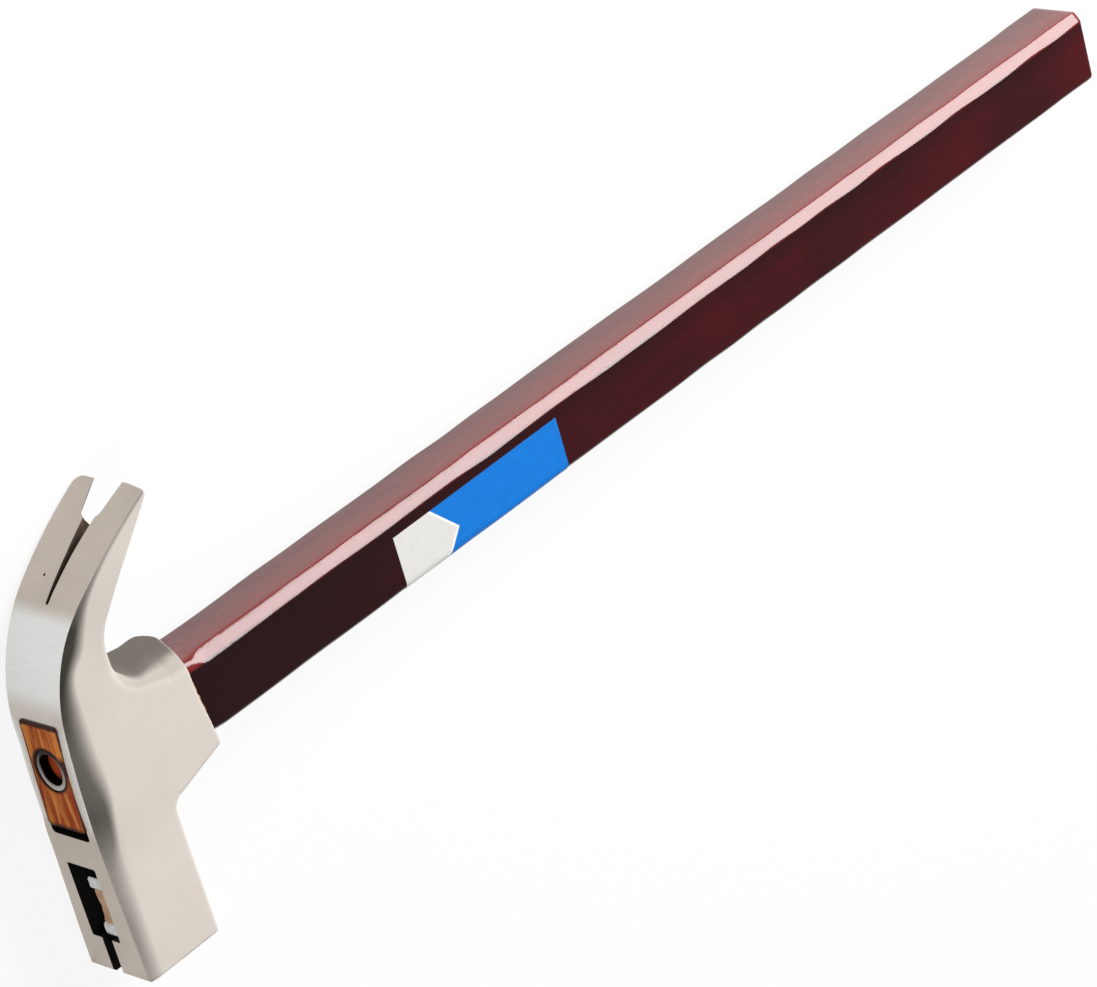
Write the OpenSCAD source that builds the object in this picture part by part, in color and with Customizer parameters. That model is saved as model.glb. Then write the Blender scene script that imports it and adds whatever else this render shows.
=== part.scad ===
// Claw hammer lying on its cheek: forged head, wooden handle, ring wedge, nail magnets and label.
//
// Every piece is drawn in head space: X runs down the handle from the top of the head, Y runs
// from the handle's centre line towards the claws (the striking face is at -Y), and Z is the
// direction across the cheeks. in_row() then sets the whole hammer down on its cheek.

/* [Head] */
// Distance from the handle's centre line to the striking face
poll_len = 57.5; // [50:0.5:66]
// Height of the striking face, measured along the handle
face_h = 24; // [22:0.5:27]
// Width of the ground top strip at the striking face
face_w = 22; // [20.5:0.5:24]
// Width of the ground top strip at the neck, between the nail pocket and the eye
neck_w = 20; // [18:0.5:22]
// Width of the ground top strip beside the eye
eye_strip_w = 20.4; // [19.6:0.2:22]
// Width across the cheeks at the eye
cheek_w = 24; // [22.5:0.5:26]
// Width across the cheeks of the poll
poll_cheek_w = 22.6; // [21:0.2:24]
// Depth over which the cheeks round up to the ground strip beside the eye
shoulder_depth = 7; // [5:0.5:9]
// Rounding of the poll's lower edges
poll_edge_r = 3; // [1.5:0.5:4]
// Small chamfer round the striking face
face_chamfer = 0.8; // [0.4:0.2:1.4]

/* [Socket] */
// Depth of the head along the handle, from the top strip to the socket's end
head_depth = 43.5; // [40:0.5:48]
// Socket wall at its end on the claw side
socket_wall_claw = 6; // [4.5:0.5:7]
// Socket wall at its end on the face side
socket_wall_face = 2.6; // [2:0.2:4]
// Socket wall at its end on each cheek
socket_wall_cheek = 1.6; // [1.4:0.1:2.4]
// Rounding of the socket's long edges on the face side
socket_edge_r = 4; // [3:0.5:5]
// Rounding of the socket's long edges on the claw side
socket_claw_r = 8; // [5:0.5:9]
// How much shorter the socket is on the claw side
socket_slant = 3.2; // [0:0.2:4]

/* [Claws] */
// Radius of the slow bend of the top strip over the eye
strip_bend_r = 260; // [220:5:320]
// Radius of the knee where the claws turn down
knee_r = 42; // [38:1:46]
// Radius of the long curve of the claws
claw_bend_r = 137; // [125:1:150]
// Steepness of the claws at the knee, from the top strip
knee_angle = 53; // [50:1:56]
// Steepness of the claws at their tips, from the top strip
tip_angle = 66; // [63:1:68]
// Thickness of the claws at the end of the knee
claw_root_t = 10.2; // [9:0.2:11]
// Thickness of the claws at their tips
claw_tip_t = 1.2; // [0.8:0.1:2]
// Width across the two claws at their tips
claw_tip_w = 26; // [25:0.5:28]
// Gap between the claws at their tips
notch_w = 11.6; // [9:0.2:14]
// Depth of the V notch along the claws
notch_len = 11; // [9:0.5:13]
// Width of the nail slit where it meets the V notch
slit_w = 3.6; // [2.6:0.2:4.4]
// Width of the nail slit at its closed end
slit_end_w = 1.2; // [0.8:0.1:1.6]
// Length of the nail slit beyond the V notch
slit_len = 22; // [18:1:25]

/* [Nail holder] */
// Distance from the striking face to the shoulder of the nail pocket
pocket_front = 10.6; // [8:0.2:13]
// Length of the nail pocket
pocket_len = 22; // [18:0.5:24]
// Width of the nail pocket
pocket_w = 10.6; // [9:0.2:12]
// Depth of the nail pocket
pocket_depth = 5; // [4:0.5:7]
// How far the pocket lies off the middle of the strip
pocket_shift = -0.7; // [-1:0.1:1]
// Width of the groove for the nail's shank
groove_w = 3.8; // [3:0.2:5]
// Length of each magnet
magnet_len = 4; // [3:0.5:5]
// Width of the magnets and of the resin between them
magnet_w = 3.6; // [2.5:0.2:4]
// How far the magnets lie below the ground strip
magnet_below = 0.5; // [0.3:0.1:1.2]
// Bare length of pocket behind the rear magnet
magnet_back_gap = 3.6; // [2:0.2:5]

/* [Handle] */
// Length of the handle from the top of the head to the butt
handle_len = 417; // [360:1:460]
// Width of the handle, from the face side to the claw side
handle_w = 22.1; // [20:0.1:24]
// Thickness of the handle across the cheeks
handle_t = 18.9; // [17:0.1:20]
// Rounding of the handle's long edges
handle_r = 3; // [2:0.2:4]
// Chamfer round the handle's butt
butt_chamfer = 1.2; // [0.6:0.2:2]
// Length of the wood's end in the eye, from the face side to the claw side
wood_end_w = 29.8; // [26:0.2:30.4]
// Thickness of the wood's end in the eye
wood_end_t = 14; // [13.4:0.2:15]
// Rounding of the wood's end
wood_end_r = 2; // [1:0.2:3]
// How far the wood's end stands above the strip
wood_proud = 1.2; // [0.6:0.1:1.8]
// Gap left between the wood's end and the face side of the eye
eye_gap = 2.7; // [1.6:0.1:4]
// Running gap round the tang inside the eye
tang_fit = 0.05; // [0.02:0.01:0.15]

/* [Ring wedge] */
// Outer radius of the ring wedge at its top
ring_r = 6; // [5:0.1:6.4]
// Wall of the ring wedge at its top
ring_wall = 1.9; // [1.4:0.1:2.3]
// Length of the ring wedge
ring_len = 14; // [10:0.5:18]
// Wall of the ring wedge at its driven end
ring_tip_wall = 0.4; // [0.3:0.1:0.8]
// Place of the ring wedge, from the handle's centre line towards the claws
ring_off = 3; // [1:0.1:4]
// Depth of the wood's face inside the ring wedge
ring_hollow = 2; // [1:0.1:3]

/* [Label] */
// Distance from the top of the head to the label
label_from = 115; // [100:1:150]
// Length of the label along the handle
label_len = 63.7; // [50:0.5:80]
// Height of the label's upper edge above the handle's centre line
label_top = 5; // [3:0.5:7]
// Thickness of the label
label_t = 0.15; // [0.1:0.05:0.3]

/* [Hidden] */
$fn = 48;
hull_fn = 32;                  // facets of round corners inside hull()
skin = 0.2;                    // thickness of the slabs that hull() joins
past = 1;                      // how far a cut runs beyond the solid
arc_steps = 12;                // steps on each arc of an outline
shoulder_steps = 6;            // steps down the shoulder between strip and cheek

// Top strip and claws: flat to bend_start, then three arcs, each tangent to the last
bend_start = -14;              // where the slow bend starts
strip_angle = 6.6;             // steepness at the end of the slow bend
throat_angle = 41;             // steepness of the claws' underside where the throat starts
taper_power = 0.75;            // the claws thin a little faster near their tips
root_x = 21;                   // underside of the claws' root
root_fillet_r = 5.5;           // fillet from the root into the socket
poll_fillet_r = 4;             // fillet from the poll into the socket
web_half = 8.5;                // half width of the poll's fillet
middle_depth = 30;             // depth of the head's thick middle, inside the socket
trim = 0.3;                    // how far one forged form stands past or inside the next
face_edge_r = 1.5;             // rounding of the face's lower corner
poll_shoulder = 4;             // depth of the shoulder at the striking face
knee_w = 24;                   // width of the claws at the knee
root_y = 36;                   // the thick middle runs out into the claws here
root_w = 22;                   // width of the thick middle where it runs out
notch_flare = 2;               // extra opening of the V notch past the tips
notch_round = 0.5;             // rounding at the bottom of the V notch
cut_reach = 16;                // half length of the cut through the claws

neck_y = -21;                  // narrowest place of the strip
eye_y0 = -8;                   // the cheeks are at full width from here
eye_y1 = 15;                   // to here
socket_top = 10;               // where the socket's own sides start, under the strip
socket_claw_y = handle_w / 2 + socket_wall_claw;
socket_face_y = -handle_w / 2 - socket_wall_face;
socket_half = handle_t / 2 + socket_wall_cheek;
socket_flare = 4.6;            // how much deeper the socket is where it leaves the poll
socket_poll_y = socket_face_y - socket_flare;
socket_top_flare = socket_flare * (face_h - socket_top) / (head_depth - face_h);

tang_end = head_depth + past;  // where the tang reaches the full handle section
wood_claw_y = (wood_end_w + eye_gap) / 2;
wood_face_y = wood_claw_y - wood_end_w;
end_tilt = atan((strip_x(wood_claw_y) - strip_x(wood_face_y)) / wood_end_w);
ring_bore = ring_r - ring_wall;

pocket_y0 = pocket_front - poll_len;
pocket_side = pocket_shift + pocket_w / 2;     // the pocket's wall that carries the magnets
magnet_face = pocket_side - magnet_w;
magnet_rear_y = pocket_y0 + pocket_len - magnet_back_gap;
magnet_r = 1.2;                // rounding of the magnets' corners
resin_below = 0.9;             // how far the resin lies below the strip
groove_depth = 4;              // depth of the groove for the nail's shank
groove_lap = 0.3;              // how far the groove reaches past the magnets' faces
label_lap = -3;                // where the label's lap ends on the face side, from the middle

// Depth of the slow bend at a place along the strip
function strip_x(y) = strip_bend_r - sqrt(pow(strip_bend_r, 2) - pow(max(y - bend_start, 0), 2));

// A point on an arc of the strip: start [x, y], radius, first and present steepness
function bend(from, r, a0, a) = [from[0] + r * (cos(a0) - cos(a)), from[1] + r * (sin(a) - sin(a0))];
function steps(a0, a1, first = 0) = [for (i = [first:arc_steps]) a0 + (a1 - a0) * i / arc_steps];
strip_end = bend([0, bend_start], strip_bend_r, 0, strip_angle);
knee_end = bend(strip_end, knee_r, strip_angle, knee_angle);
claw_tip = bend(knee_end, claw_bend_r, knee_angle, tip_angle);

// Thickness of the claws at a steepness, and the matching point of their underside
function claw_t(a) = claw_tip_t + (claw_root_t - claw_tip_t)
    * pow((tip_angle - a) / (tip_angle - knee_angle), taper_power);
function underside(a) = bend(knee_end, claw_bend_r, knee_angle, a) + claw_t(a) * [cos(a), -sin(a)];
throat_end = underside(knee_angle);
throat_r = (throat_end[0] - root_x) / (1 - cos(throat_angle));
throat_y = throat_end[1] - throat_r * sin(throat_angle);
function round_at(c, r, a0, a1) = [for (a = steps(a0, a1)) c + r * [cos(a), sin(a)]];

// The hammer's own frame: middle of its footprint, on the surface that it lies on
lowest_z = -max(claw_tip_w, cheek_w) / 2;
mid_x = (handle_len - wood_proud) / 2;
mid_y = (claw_tip[1] - poll_len) / 2;

module in_row() translate([-mid_x, -mid_y, -lowest_z]) children();

// A rounded rectangle, made of two bars and four discs
module rounded(w, h, r, facets = $fn) {
    square([w - 2 * r, h], center = true);
    square([w, h - 2 * r], center = true);
    for (sx = [-1, 1], sy = [-1, 1])
        translate([sx * (w / 2 - r), sy * (h / 2 - r)]) circle(r, $fn = facets);
}

// A thin slab across the handle's direction, from y0 to y1 and half to each cheek
module slab_x(x, y0, y1, half, r)
    translate([x, (y0 + y1) / 2, 0]) rotate([0, 90, 0])
        linear_extrude(skin) rounded(2 * half, y1 - y0, r, hull_fn);

// A thin slab across the head: ground strip at depth top, shoulders curving out to the cheeks, lower edges
module slab_y(y, strip_half, cheek_half, shoulder, depth, r, top = 0) {
    side = concat([[-past, 0], [-past, strip_half]],
        [for (t = [0:1 / shoulder_steps:1])
            [top + shoulder * t, strip_half + (cheek_half - strip_half) * (1 - pow(1 - t, 2))]],
        round_at([depth - r, cheek_half - r], r, 90, 0), [[depth, 0]]);
    translate([0, y, 0]) rotate([90, 0, 0]) linear_extrude(skin) {
        polygon(side);
        mirror([0, 1]) polygon(side);
    }
}

// The head's side view: strip, claws, root fillet, socket and poll
module side_view() polygon(concat(
    [[0, face_chamfer - poll_len]],
    [for (a = steps(0, strip_angle)) bend([0, bend_start], strip_bend_r, 0, a)],
    [for (a = steps(strip_angle, knee_angle, 1)) bend(strip_end, knee_r, strip_angle, a)],
    [for (a = steps(knee_angle, tip_angle, 1)) bend(knee_end, claw_bend_r, knee_angle, a)],
    [for (a = steps(tip_angle, knee_angle)) underside(a)],
    [for (a = steps(180 - throat_angle, 180, 1)) [root_x + throat_r, throat_y] + throat_r * [cos(a), sin(a)]],
    round_at([root_x + root_fillet_r, socket_claw_y + root_fillet_r], root_fillet_r, 180, 270),
    [[head_depth - socket_slant, socket_claw_y], [head_depth, socket_face_y]],
    round_at([face_h + poll_fillet_r, socket_poll_y - poll_fillet_r], poll_fillet_r, 90, 180),
    round_at([face_h - face_edge_r, face_edge_r - poll_len], face_edge_r, 0, -90),
    [[face_chamfer, -poll_len]]
));

// The poll, from the chamfered striking face to the neck; side_view() cuts it to length and height
module poll() hull() {
    inset = face_chamfer + past;
    depth = face_h + trim;
    slab_y(-poll_len - past, face_w / 2 - inset, poll_cheek_w / 2 - inset, poll_shoulder, depth, poll_edge_r);
    slab_y(face_chamfer - poll_len, face_w / 2, poll_cheek_w / 2, poll_shoulder, depth, poll_edge_r);
    slab_y(neck_y, neck_w / 2, poll_cheek_w / 2, shoulder_depth, depth + trim, poll_edge_r);
}

// The thick middle of the head, from inside the poll past the eye into the root of the claws
module middle() hull() {
    slab_y(neck_y - past, neck_w / 2 - trim, poll_cheek_w / 2 - trim, shoulder_depth,
        face_h - trim, poll_edge_r);
    slab_y(eye_y0, eye_strip_w / 2, cheek_w / 2, shoulder_depth, middle_depth, poll_edge_r);
    slab_y(eye_y1, eye_strip_w / 2, cheek_w / 2, shoulder_depth, middle_depth, poll_edge_r, strip_x(eye_y1));
    slab_y(root_y, root_w / 2, root_w / 2, shoulder_depth, root_x - poll_edge_r, poll_edge_r);
}

// The socket, tapering towards its end
module socket() hull() {
    claw_y = socket_claw_y + trim;
    slab_x(socket_top, socket_poll_y - socket_top_flare, 0, cheek_w / 2 - trim, socket_edge_r);
    slab_x(socket_top, -socket_claw_r, claw_y, cheek_w / 2 - trim, socket_claw_r);
    slab_x(head_depth + trim, socket_face_y, 0, socket_half, socket_edge_r);
    slab_x(head_depth + trim, -socket_claw_r, claw_y, socket_half, socket_claw_r);
}

// The claws in plan, wider towards their tips
module claw_plan() for (side = [0, 1]) mirror([side, 0]) polygon([
    [-past, eye_y1], [eye_strip_w / 2, eye_y1], [knee_w / 2, knee_end[1]],
    [claw_tip_w / 2, claw_tip[1]], [claw_tip_w / 2, claw_tip[1] + past], [-past, claw_tip[1] + past]
]);

// The V notch and the nail slit, cut square to the claws; u runs back from the tips
module nail_cut() {
    cut_angle = (knee_angle + tip_angle) / 2;
    cut_end = -notch_len - slit_len;
    translate([claw_tip[0], claw_tip[1], 0]) rotate([0, 0, -cut_angle]) rotate([0, 90, 0])
        translate([0, 0, -cut_reach]) linear_extrude(2 * cut_reach) {
            for (side = [0, 1]) mirror([side, 0]) polygon([
                [-slit_end_w / 4, cut_end], [slit_end_w / 2, cut_end],
                [slit_w / 2, -notch_len], [notch_w / 2, 0],
                [notch_w / 2 + notch_flare, past + notch_flare], [-slit_end_w / 4, past + notch_flare]
            ]);
            translate([0, cut_end]) circle(slit_end_w / 2);
            translate([0, -notch_len]) circle(slit_w / 2 + notch_round);
        }
}

// The plane of the wood's end, which slopes with the strip; its y runs from the wood's face side
module at_wood_end() translate([-wood_proud, wood_face_y, 0]) rotate([0, 0, -end_tilt]) children();

// The space for the handle: its own section at the socket's end, long and narrow at the strip
module tang_space(fit, gap) hull() {
    at_wood_end()
        slab_x(0, -gap - fit, wood_end_w / cos(end_tilt) + fit, wood_end_t / 2 + fit, wood_end_r);
    slab_x(tang_end - skin, -handle_w / 2 - fit, handle_w / 2 + fit, handle_t / 2 + fit, handle_r);
}

// The nail pocket and the groove that leads the nail's shank out through the striking face
module nail_pocket() {
    translate([-past, pocket_y0, pocket_side - pocket_w])
        cube([pocket_depth + past, pocket_len, pocket_w]);
    translate([-past, -poll_len - past, magnet_face + groove_lap - groove_w])
        cube([groove_depth + past, pocket_front + 2 * past, groove_w]);
}

// Poll, eye and socket, cut to the head's side view
module body_blank() intersection() {
    side_prism();
    union() {
        poll();
        middle();
        socket();
        translate([root_x, socket_poll_y - 2 * poll_fillet_r, -web_half])
            cube([face_h, 3 * poll_fillet_r, 2 * web_half]);
    }
}

// The claws, cut to the head's side view
module claw_blank() intersection() {
    side_prism();
    translate([-past, 0, 0]) rotate([0, 90, 0]) linear_extrude(head_depth + claw_tip_w) claw_plan();
}

module side_prism() translate([0, 0, -claw_tip_w]) linear_extrude(2 * claw_tip_w) side_view();

// Forged steel head with its top strip ground flat
module head() color("silver") in_row() difference() {
    union() {
        body_blank();
        claw_blank();
    }
    nail_cut();
    tang_space(tang_fit, eye_gap);
    nail_pocket();
}

// Ring wedge profile: radius against depth below the wood's end
module ring_profile() polygon([
    [ring_bore, 0], [ring_r, 0], [ring_r, ring_len / 3],
    [ring_bore + ring_tip_wall, ring_len], [ring_bore, ring_len]
]);

module at_ring() at_wood_end()
    translate([0, (ring_off - wood_face_y) / cos(end_tilt), 0]) rotate([0, 90, 0]) children();

// Handle: lacquered bar, tang through the eye, butt with a small chamfer
module handle() color("#4c1d25") in_row() difference() {
    union() {
        tang_space(0, 0);
        translate([tang_end, 0, 0]) rotate([0, 90, 0])
            linear_extrude(handle_len - tang_end - butt_chamfer) rounded(handle_t, handle_w, handle_r);
        hull() {
            slab_x(handle_len - butt_chamfer, -handle_w / 2, handle_w / 2, handle_t / 2, handle_r);
            slab_x(handle_len - skin, butt_chamfer - handle_w / 2, handle_w / 2 - butt_chamfer,
                handle_t / 2 - butt_chamfer, handle_r - butt_chamfer / 2);
        }
    }
    at_ring() {
        rotate_extrude() ring_profile();
        translate([0, 0, -past]) cylinder(h = ring_hollow + past, r = ring_bore);
        translate([0, 0, -past]) cylinder(h = past, r = ring_r);
    }
}

// Tubular steel wedge driven into the wood's end
module ring_wedge() color("gainsboro") in_row() at_ring() rotate_extrude() ring_profile();

// A block in the pocket against its magnet wall, from y0 to y1
module in_pocket(y0, y1, below, r) translate([below, (y0 + y1) / 2, magnet_face + magnet_w / 2])
    rotate([0, 90, 0]) linear_extrude(pocket_depth - below) rounded(magnet_w, y1 - y0, r);

// Nickel-plated magnets that hold the nail, and the resin bed between them
module magnet_rear() color("lightgray") in_row()
    in_pocket(magnet_rear_y - magnet_len, magnet_rear_y, magnet_below, magnet_r);
module magnet_front() color("lightgray") in_row()
    in_pocket(pocket_y0, pocket_y0 + magnet_len, magnet_below, magnet_r);
module magnet_resin() color("peru") in_row() difference() {
    in_pocket(pocket_y0 + magnet_len / 2, magnet_rear_y - magnet_len / 2, resin_below, skin);
    in_pocket(magnet_rear_y - magnet_len, magnet_rear_y, magnet_below, magnet_r);
    in_pocket(pocket_y0, pocket_y0 + magnet_len, magnet_below, magnet_r);
}

// Printed label on one cheek of the handle, lapped over its face-side edge
module label() color("dodgerblue") in_row() translate([label_from, 0, 0]) rotate([0, 90, 0])
    linear_extrude(label_len) intersection() {
        difference() {
            rounded(handle_t + 2 * label_t, handle_w + 2 * label_t, handle_r + label_t);
            rounded(handle_t, handle_w, handle_r);
        }
        translate([-handle_t, -handle_w]) square([handle_t - label_lap, handle_w + label_top]);
    }

head();
handle();
ring_wedge();
magnet_rear();
magnet_front();
magnet_resin();
label();
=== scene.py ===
# %% [markdown]
# # A claw hammer with a wooden handle
# The hammer lies on its cheek on a pale table. Its sizes are settled in the imported CAD model, which
# is loaded first as a fixed frame. Each piece is then made again as a finer mesh at the same place and
# given the finish of the real one, and the CAD node that it stands for is hidden. Every step has a
# text cell, which says what the piece is and why it is made that way, and then short code cells.

import bpy
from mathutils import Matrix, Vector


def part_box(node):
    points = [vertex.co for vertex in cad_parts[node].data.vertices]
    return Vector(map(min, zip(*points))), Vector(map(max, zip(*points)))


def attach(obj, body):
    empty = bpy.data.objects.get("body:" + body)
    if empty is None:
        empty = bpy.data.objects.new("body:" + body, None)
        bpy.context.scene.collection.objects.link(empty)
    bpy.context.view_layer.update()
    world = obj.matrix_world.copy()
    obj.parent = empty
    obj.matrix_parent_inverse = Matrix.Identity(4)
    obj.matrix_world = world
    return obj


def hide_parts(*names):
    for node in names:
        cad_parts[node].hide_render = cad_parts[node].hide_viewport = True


for default in ("Cube", "Light", "Camera"):
    if default in bpy.data.objects:
        bpy.data.objects.remove(bpy.data.objects[default])
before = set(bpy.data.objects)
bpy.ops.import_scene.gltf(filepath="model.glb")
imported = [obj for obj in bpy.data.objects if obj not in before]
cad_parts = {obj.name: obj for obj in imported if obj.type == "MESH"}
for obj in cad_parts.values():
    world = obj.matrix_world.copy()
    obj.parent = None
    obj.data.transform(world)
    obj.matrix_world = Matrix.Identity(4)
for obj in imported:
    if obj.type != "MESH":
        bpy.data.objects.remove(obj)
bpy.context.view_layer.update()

import math

import bmesh
import numpy as np
from mathutils import Matrix, Vector

print("nodes:", ", ".join(sorted(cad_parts)))

# %% [markdown]
# ## One drawing frame for the whole hammer
# A hammer is easiest to draw from its own lines, so the script has a drawing frame in millimetres:
# X runs down the handle from the top of the head, Y from the handle's centre line towards the
# claws, and Z across the cheeks. The head's box in the CAD model says where that frame lies in the
# row's frame, which is in metres.

# %% From the drawing frame to the row's frame
POLL_LEN = 57.5          # handle's centre line to the striking face
head_low, head_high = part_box("head")
DRAWING_ORIGIN = 1000 * np.array(
    [head_low.x, head_low.y, (head_low.z + head_high.z) / 2]) + [0, POLL_LEN, 0]


def in_row(points):
    """Points of the drawing frame, in mm, as points of the row's frame, in metres."""
    return (np.asarray(points, float) + DRAWING_ORIGIN) / 1000


def in_drawing(points):
    """Points of the row's frame, in metres, as points of the drawing frame, in mm."""
    return np.asarray(points, float) * 1000 - DRAWING_ORIGIN


print("drawing origin in the row's frame, mm:", DRAWING_ORIGIN.round(2))

# %% A mesh object from points and faces
def new_piece(name, points, faces, materials=(), face_material=None):
    """A mesh object at the origin, with its place in its mesh. points are in the drawing frame."""
    mesh = bpy.data.meshes.new(name)
    mesh.from_pydata(in_row(points).tolist(), [], [list(map(int, face)) for face in faces])
    for finish in materials:
        mesh.materials.append(finish)
    if face_material is not None:
        mesh.polygons.foreach_set("material_index", face_material)
    mesh.validate()
    piece = bpy.data.objects.new(name, mesh)
    bpy.context.scene.collection.objects.link(piece)
    return piece


def mesh_points(piece):
    """A mesh object's vertices in the drawing frame, as an array."""
    flat = np.zeros(3 * len(piece.data.vertices))
    piece.data.vertices.foreach_get("co", flat)
    return in_drawing(flat.reshape(-1, 3))


# %% [markdown]
# ## The camera
# A long lens, far away, looks down on the hammer from beyond its head, on the claw side. The place
# and the axes are those at which the handle's edges, the striking face and the eye line up.

# %% Camera
CAMERA_PLACE = (-0.72497, 0.51839, 0.83893)
CAMERA_RIGHT = Vector((0.6549, -0.2495, 0.7133))
CAMERA_DOWN = Vector((-0.4896, -0.8591, 0.1490))
LENS, SENSOR = 147.7, 36                # mm
SIGHT_END = 20           # metres, beyond the far side of the table

camera_data = bpy.data.cameras.new("camera")
camera_data.lens = LENS
camera_data.sensor_width = SENSOR
camera_data.clip_end = SIGHT_END
camera = bpy.data.objects.new("camera", camera_data)
bpy.context.scene.collection.objects.link(camera)
right = CAMERA_RIGHT.normalized()
back = right.cross(-CAMERA_DOWN).normalized()
up = back.cross(right)
camera.matrix_world = Matrix.Translation(CAMERA_PLACE) @ Matrix((right, up, back)).transposed().to_4x4()
bpy.context.scene.camera = camera
print("camera looks along", [round(-value, 3) for value in back])

# %% [markdown]
# ## Colours and nodes
# Colours are written as sRGB hex values and turned to linear once. A material is a small tree of
# nodes, and one function adds any node with its settings and its links.

# %% Colour and node helpers
def linear(hex_code):
    """An sRGB hex colour as linear RGBA."""
    parts = [int(hex_code[i:i + 2], 16) / 255 for i in (1, 3, 5)]
    return [v / 12.92 if v <= 0.04045 else ((v + 0.055) / 1.055) ** 2.4 for v in parts] + [1]


def add(tree, kind, inputs=None, **settings):
    """Adds one node. inputs gives each socket, by name or number, a value or another node's output."""
    made = tree.nodes.new(kind)
    for key, value in settings.items():
        setattr(made, key, value)
    for key, value in (inputs or {}).items():
        if isinstance(value, bpy.types.NodeSocket):
            tree.links.new(value, made.inputs[key])
        else:
            made.inputs[key].default_value = value
    return made


def new_finish(name, **surface):
    """A material with its shader, whose sockets are set by name, and the tree's place coordinates."""
    finish = bpy.data.materials.new(name)
    finish.use_nodes = True
    tree = finish.node_tree
    shader = tree.nodes["Principled BSDF"]
    for socket, value in surface.items():
        shader.inputs[socket.replace("_", " ")].default_value = value
    place = add(tree, "ShaderNodeTexCoord").outputs["Object"]
    return finish, tree, shader, place


MM = 1000                # a noise of scale MM has a period of about a millimetre
FACTOR, COLOUR_A, COLOUR_B, COLOUR_OUT = 0, 6, 7, 2     # sockets of a colour mix

# %% [markdown]
# ## The head's steel
# The head is drop-forged carbon steel. Its cheeks are shot-blasted and waxed, which leaves a pale,
# warm, fine-grained satin: the dents scatter most of the light, as a matt paint does, so this steel
# is set much nearer to a matt surface than to a mirror. The top strip is ground on a belt, across the
# strip, so it is a plain metal with fine lines, and the outside of the claws is polished brighter
# near the knee. The nail slit keeps dark scale. The pocket and the eye's walls are near black, which is
# dark scale and painted shade. Each finish is a material of its own, and the cuts in the forging bring
# theirs with them.

# %% Blasted steel of the cheeks
BLAST_GRAIN = 0.35       # mm, size of the dents that shot leaves
FORGE_DRIFT = 14         # mm, size of the soft changes of tone over a forging


def blasted_steel():
    finish, tree, shader, place = new_finish("blasted_forged_steel", Metallic=0.1,
                                             Specular_IOR_Level=0.3)
    drift = add(tree, "ShaderNodeTexNoise", {"Vector": place, "Scale": MM / FORGE_DRIFT, "Detail": 3.0})
    grain = add(tree, "ShaderNodeTexNoise", {"Vector": place, "Scale": MM / BLAST_GRAIN, "Detail": 3.0})
    tone = add(tree, "ShaderNodeMix", {FACTOR: drift.outputs["Fac"], COLOUR_A: linear("#d6cdc4"),
                                       COLOUR_B: linear("#e1dad2")}, data_type="RGBA")
    speck = add(tree, "ShaderNodeMapRange", {"Value": grain.outputs["Fac"], "From Min": 0.35,
                                             "From Max": 0.65, "To Min": 0.0, "To Max": 0.1})
    # Painted shade: the shade attribute mixes the steel towards this dark colour along the shoulders and
    # on the socket's claw side.
    painted_shade = add(tree, "ShaderNodeAttribute", attribute_name="shade")
    shaded = add(tree, "ShaderNodeMix", {FACTOR: painted_shade.outputs["Fac"],
                                         COLOUR_A: tone.outputs[COLOUR_OUT],
                                         COLOUR_B: linear("#2f2c23")}, data_type="RGBA")
    grained = add(tree, "ShaderNodeMix", {FACTOR: speck.outputs[0],
                                          COLOUR_A: shaded.outputs[COLOUR_OUT],
                                          COLOUR_B: linear("#a59d93")}, data_type="RGBA")
    gloss = add(tree, "ShaderNodeMapRange", {"Value": grain.outputs["Fac"], "From Min": 0.3,
                                             "From Max": 0.7, "To Min": 0.75, "To Max": 0.9})
    bump = add(tree, "ShaderNodeBump", {"Height": grain.outputs["Fac"], "Strength": 0.25,
                                        "Distance": 0.00005})
    tree.links.new(grained.outputs[COLOUR_OUT], shader.inputs["Base Color"])
    tree.links.new(gloss.outputs[0], shader.inputs["Roughness"])
    tree.links.new(bump.outputs[0], shader.inputs["Normal"])
    return finish


# %% Ground steel of the top strip
GRIND_LINE = 0.25        # mm, spacing of the belt's lines, drawn coarse enough to show


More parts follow.
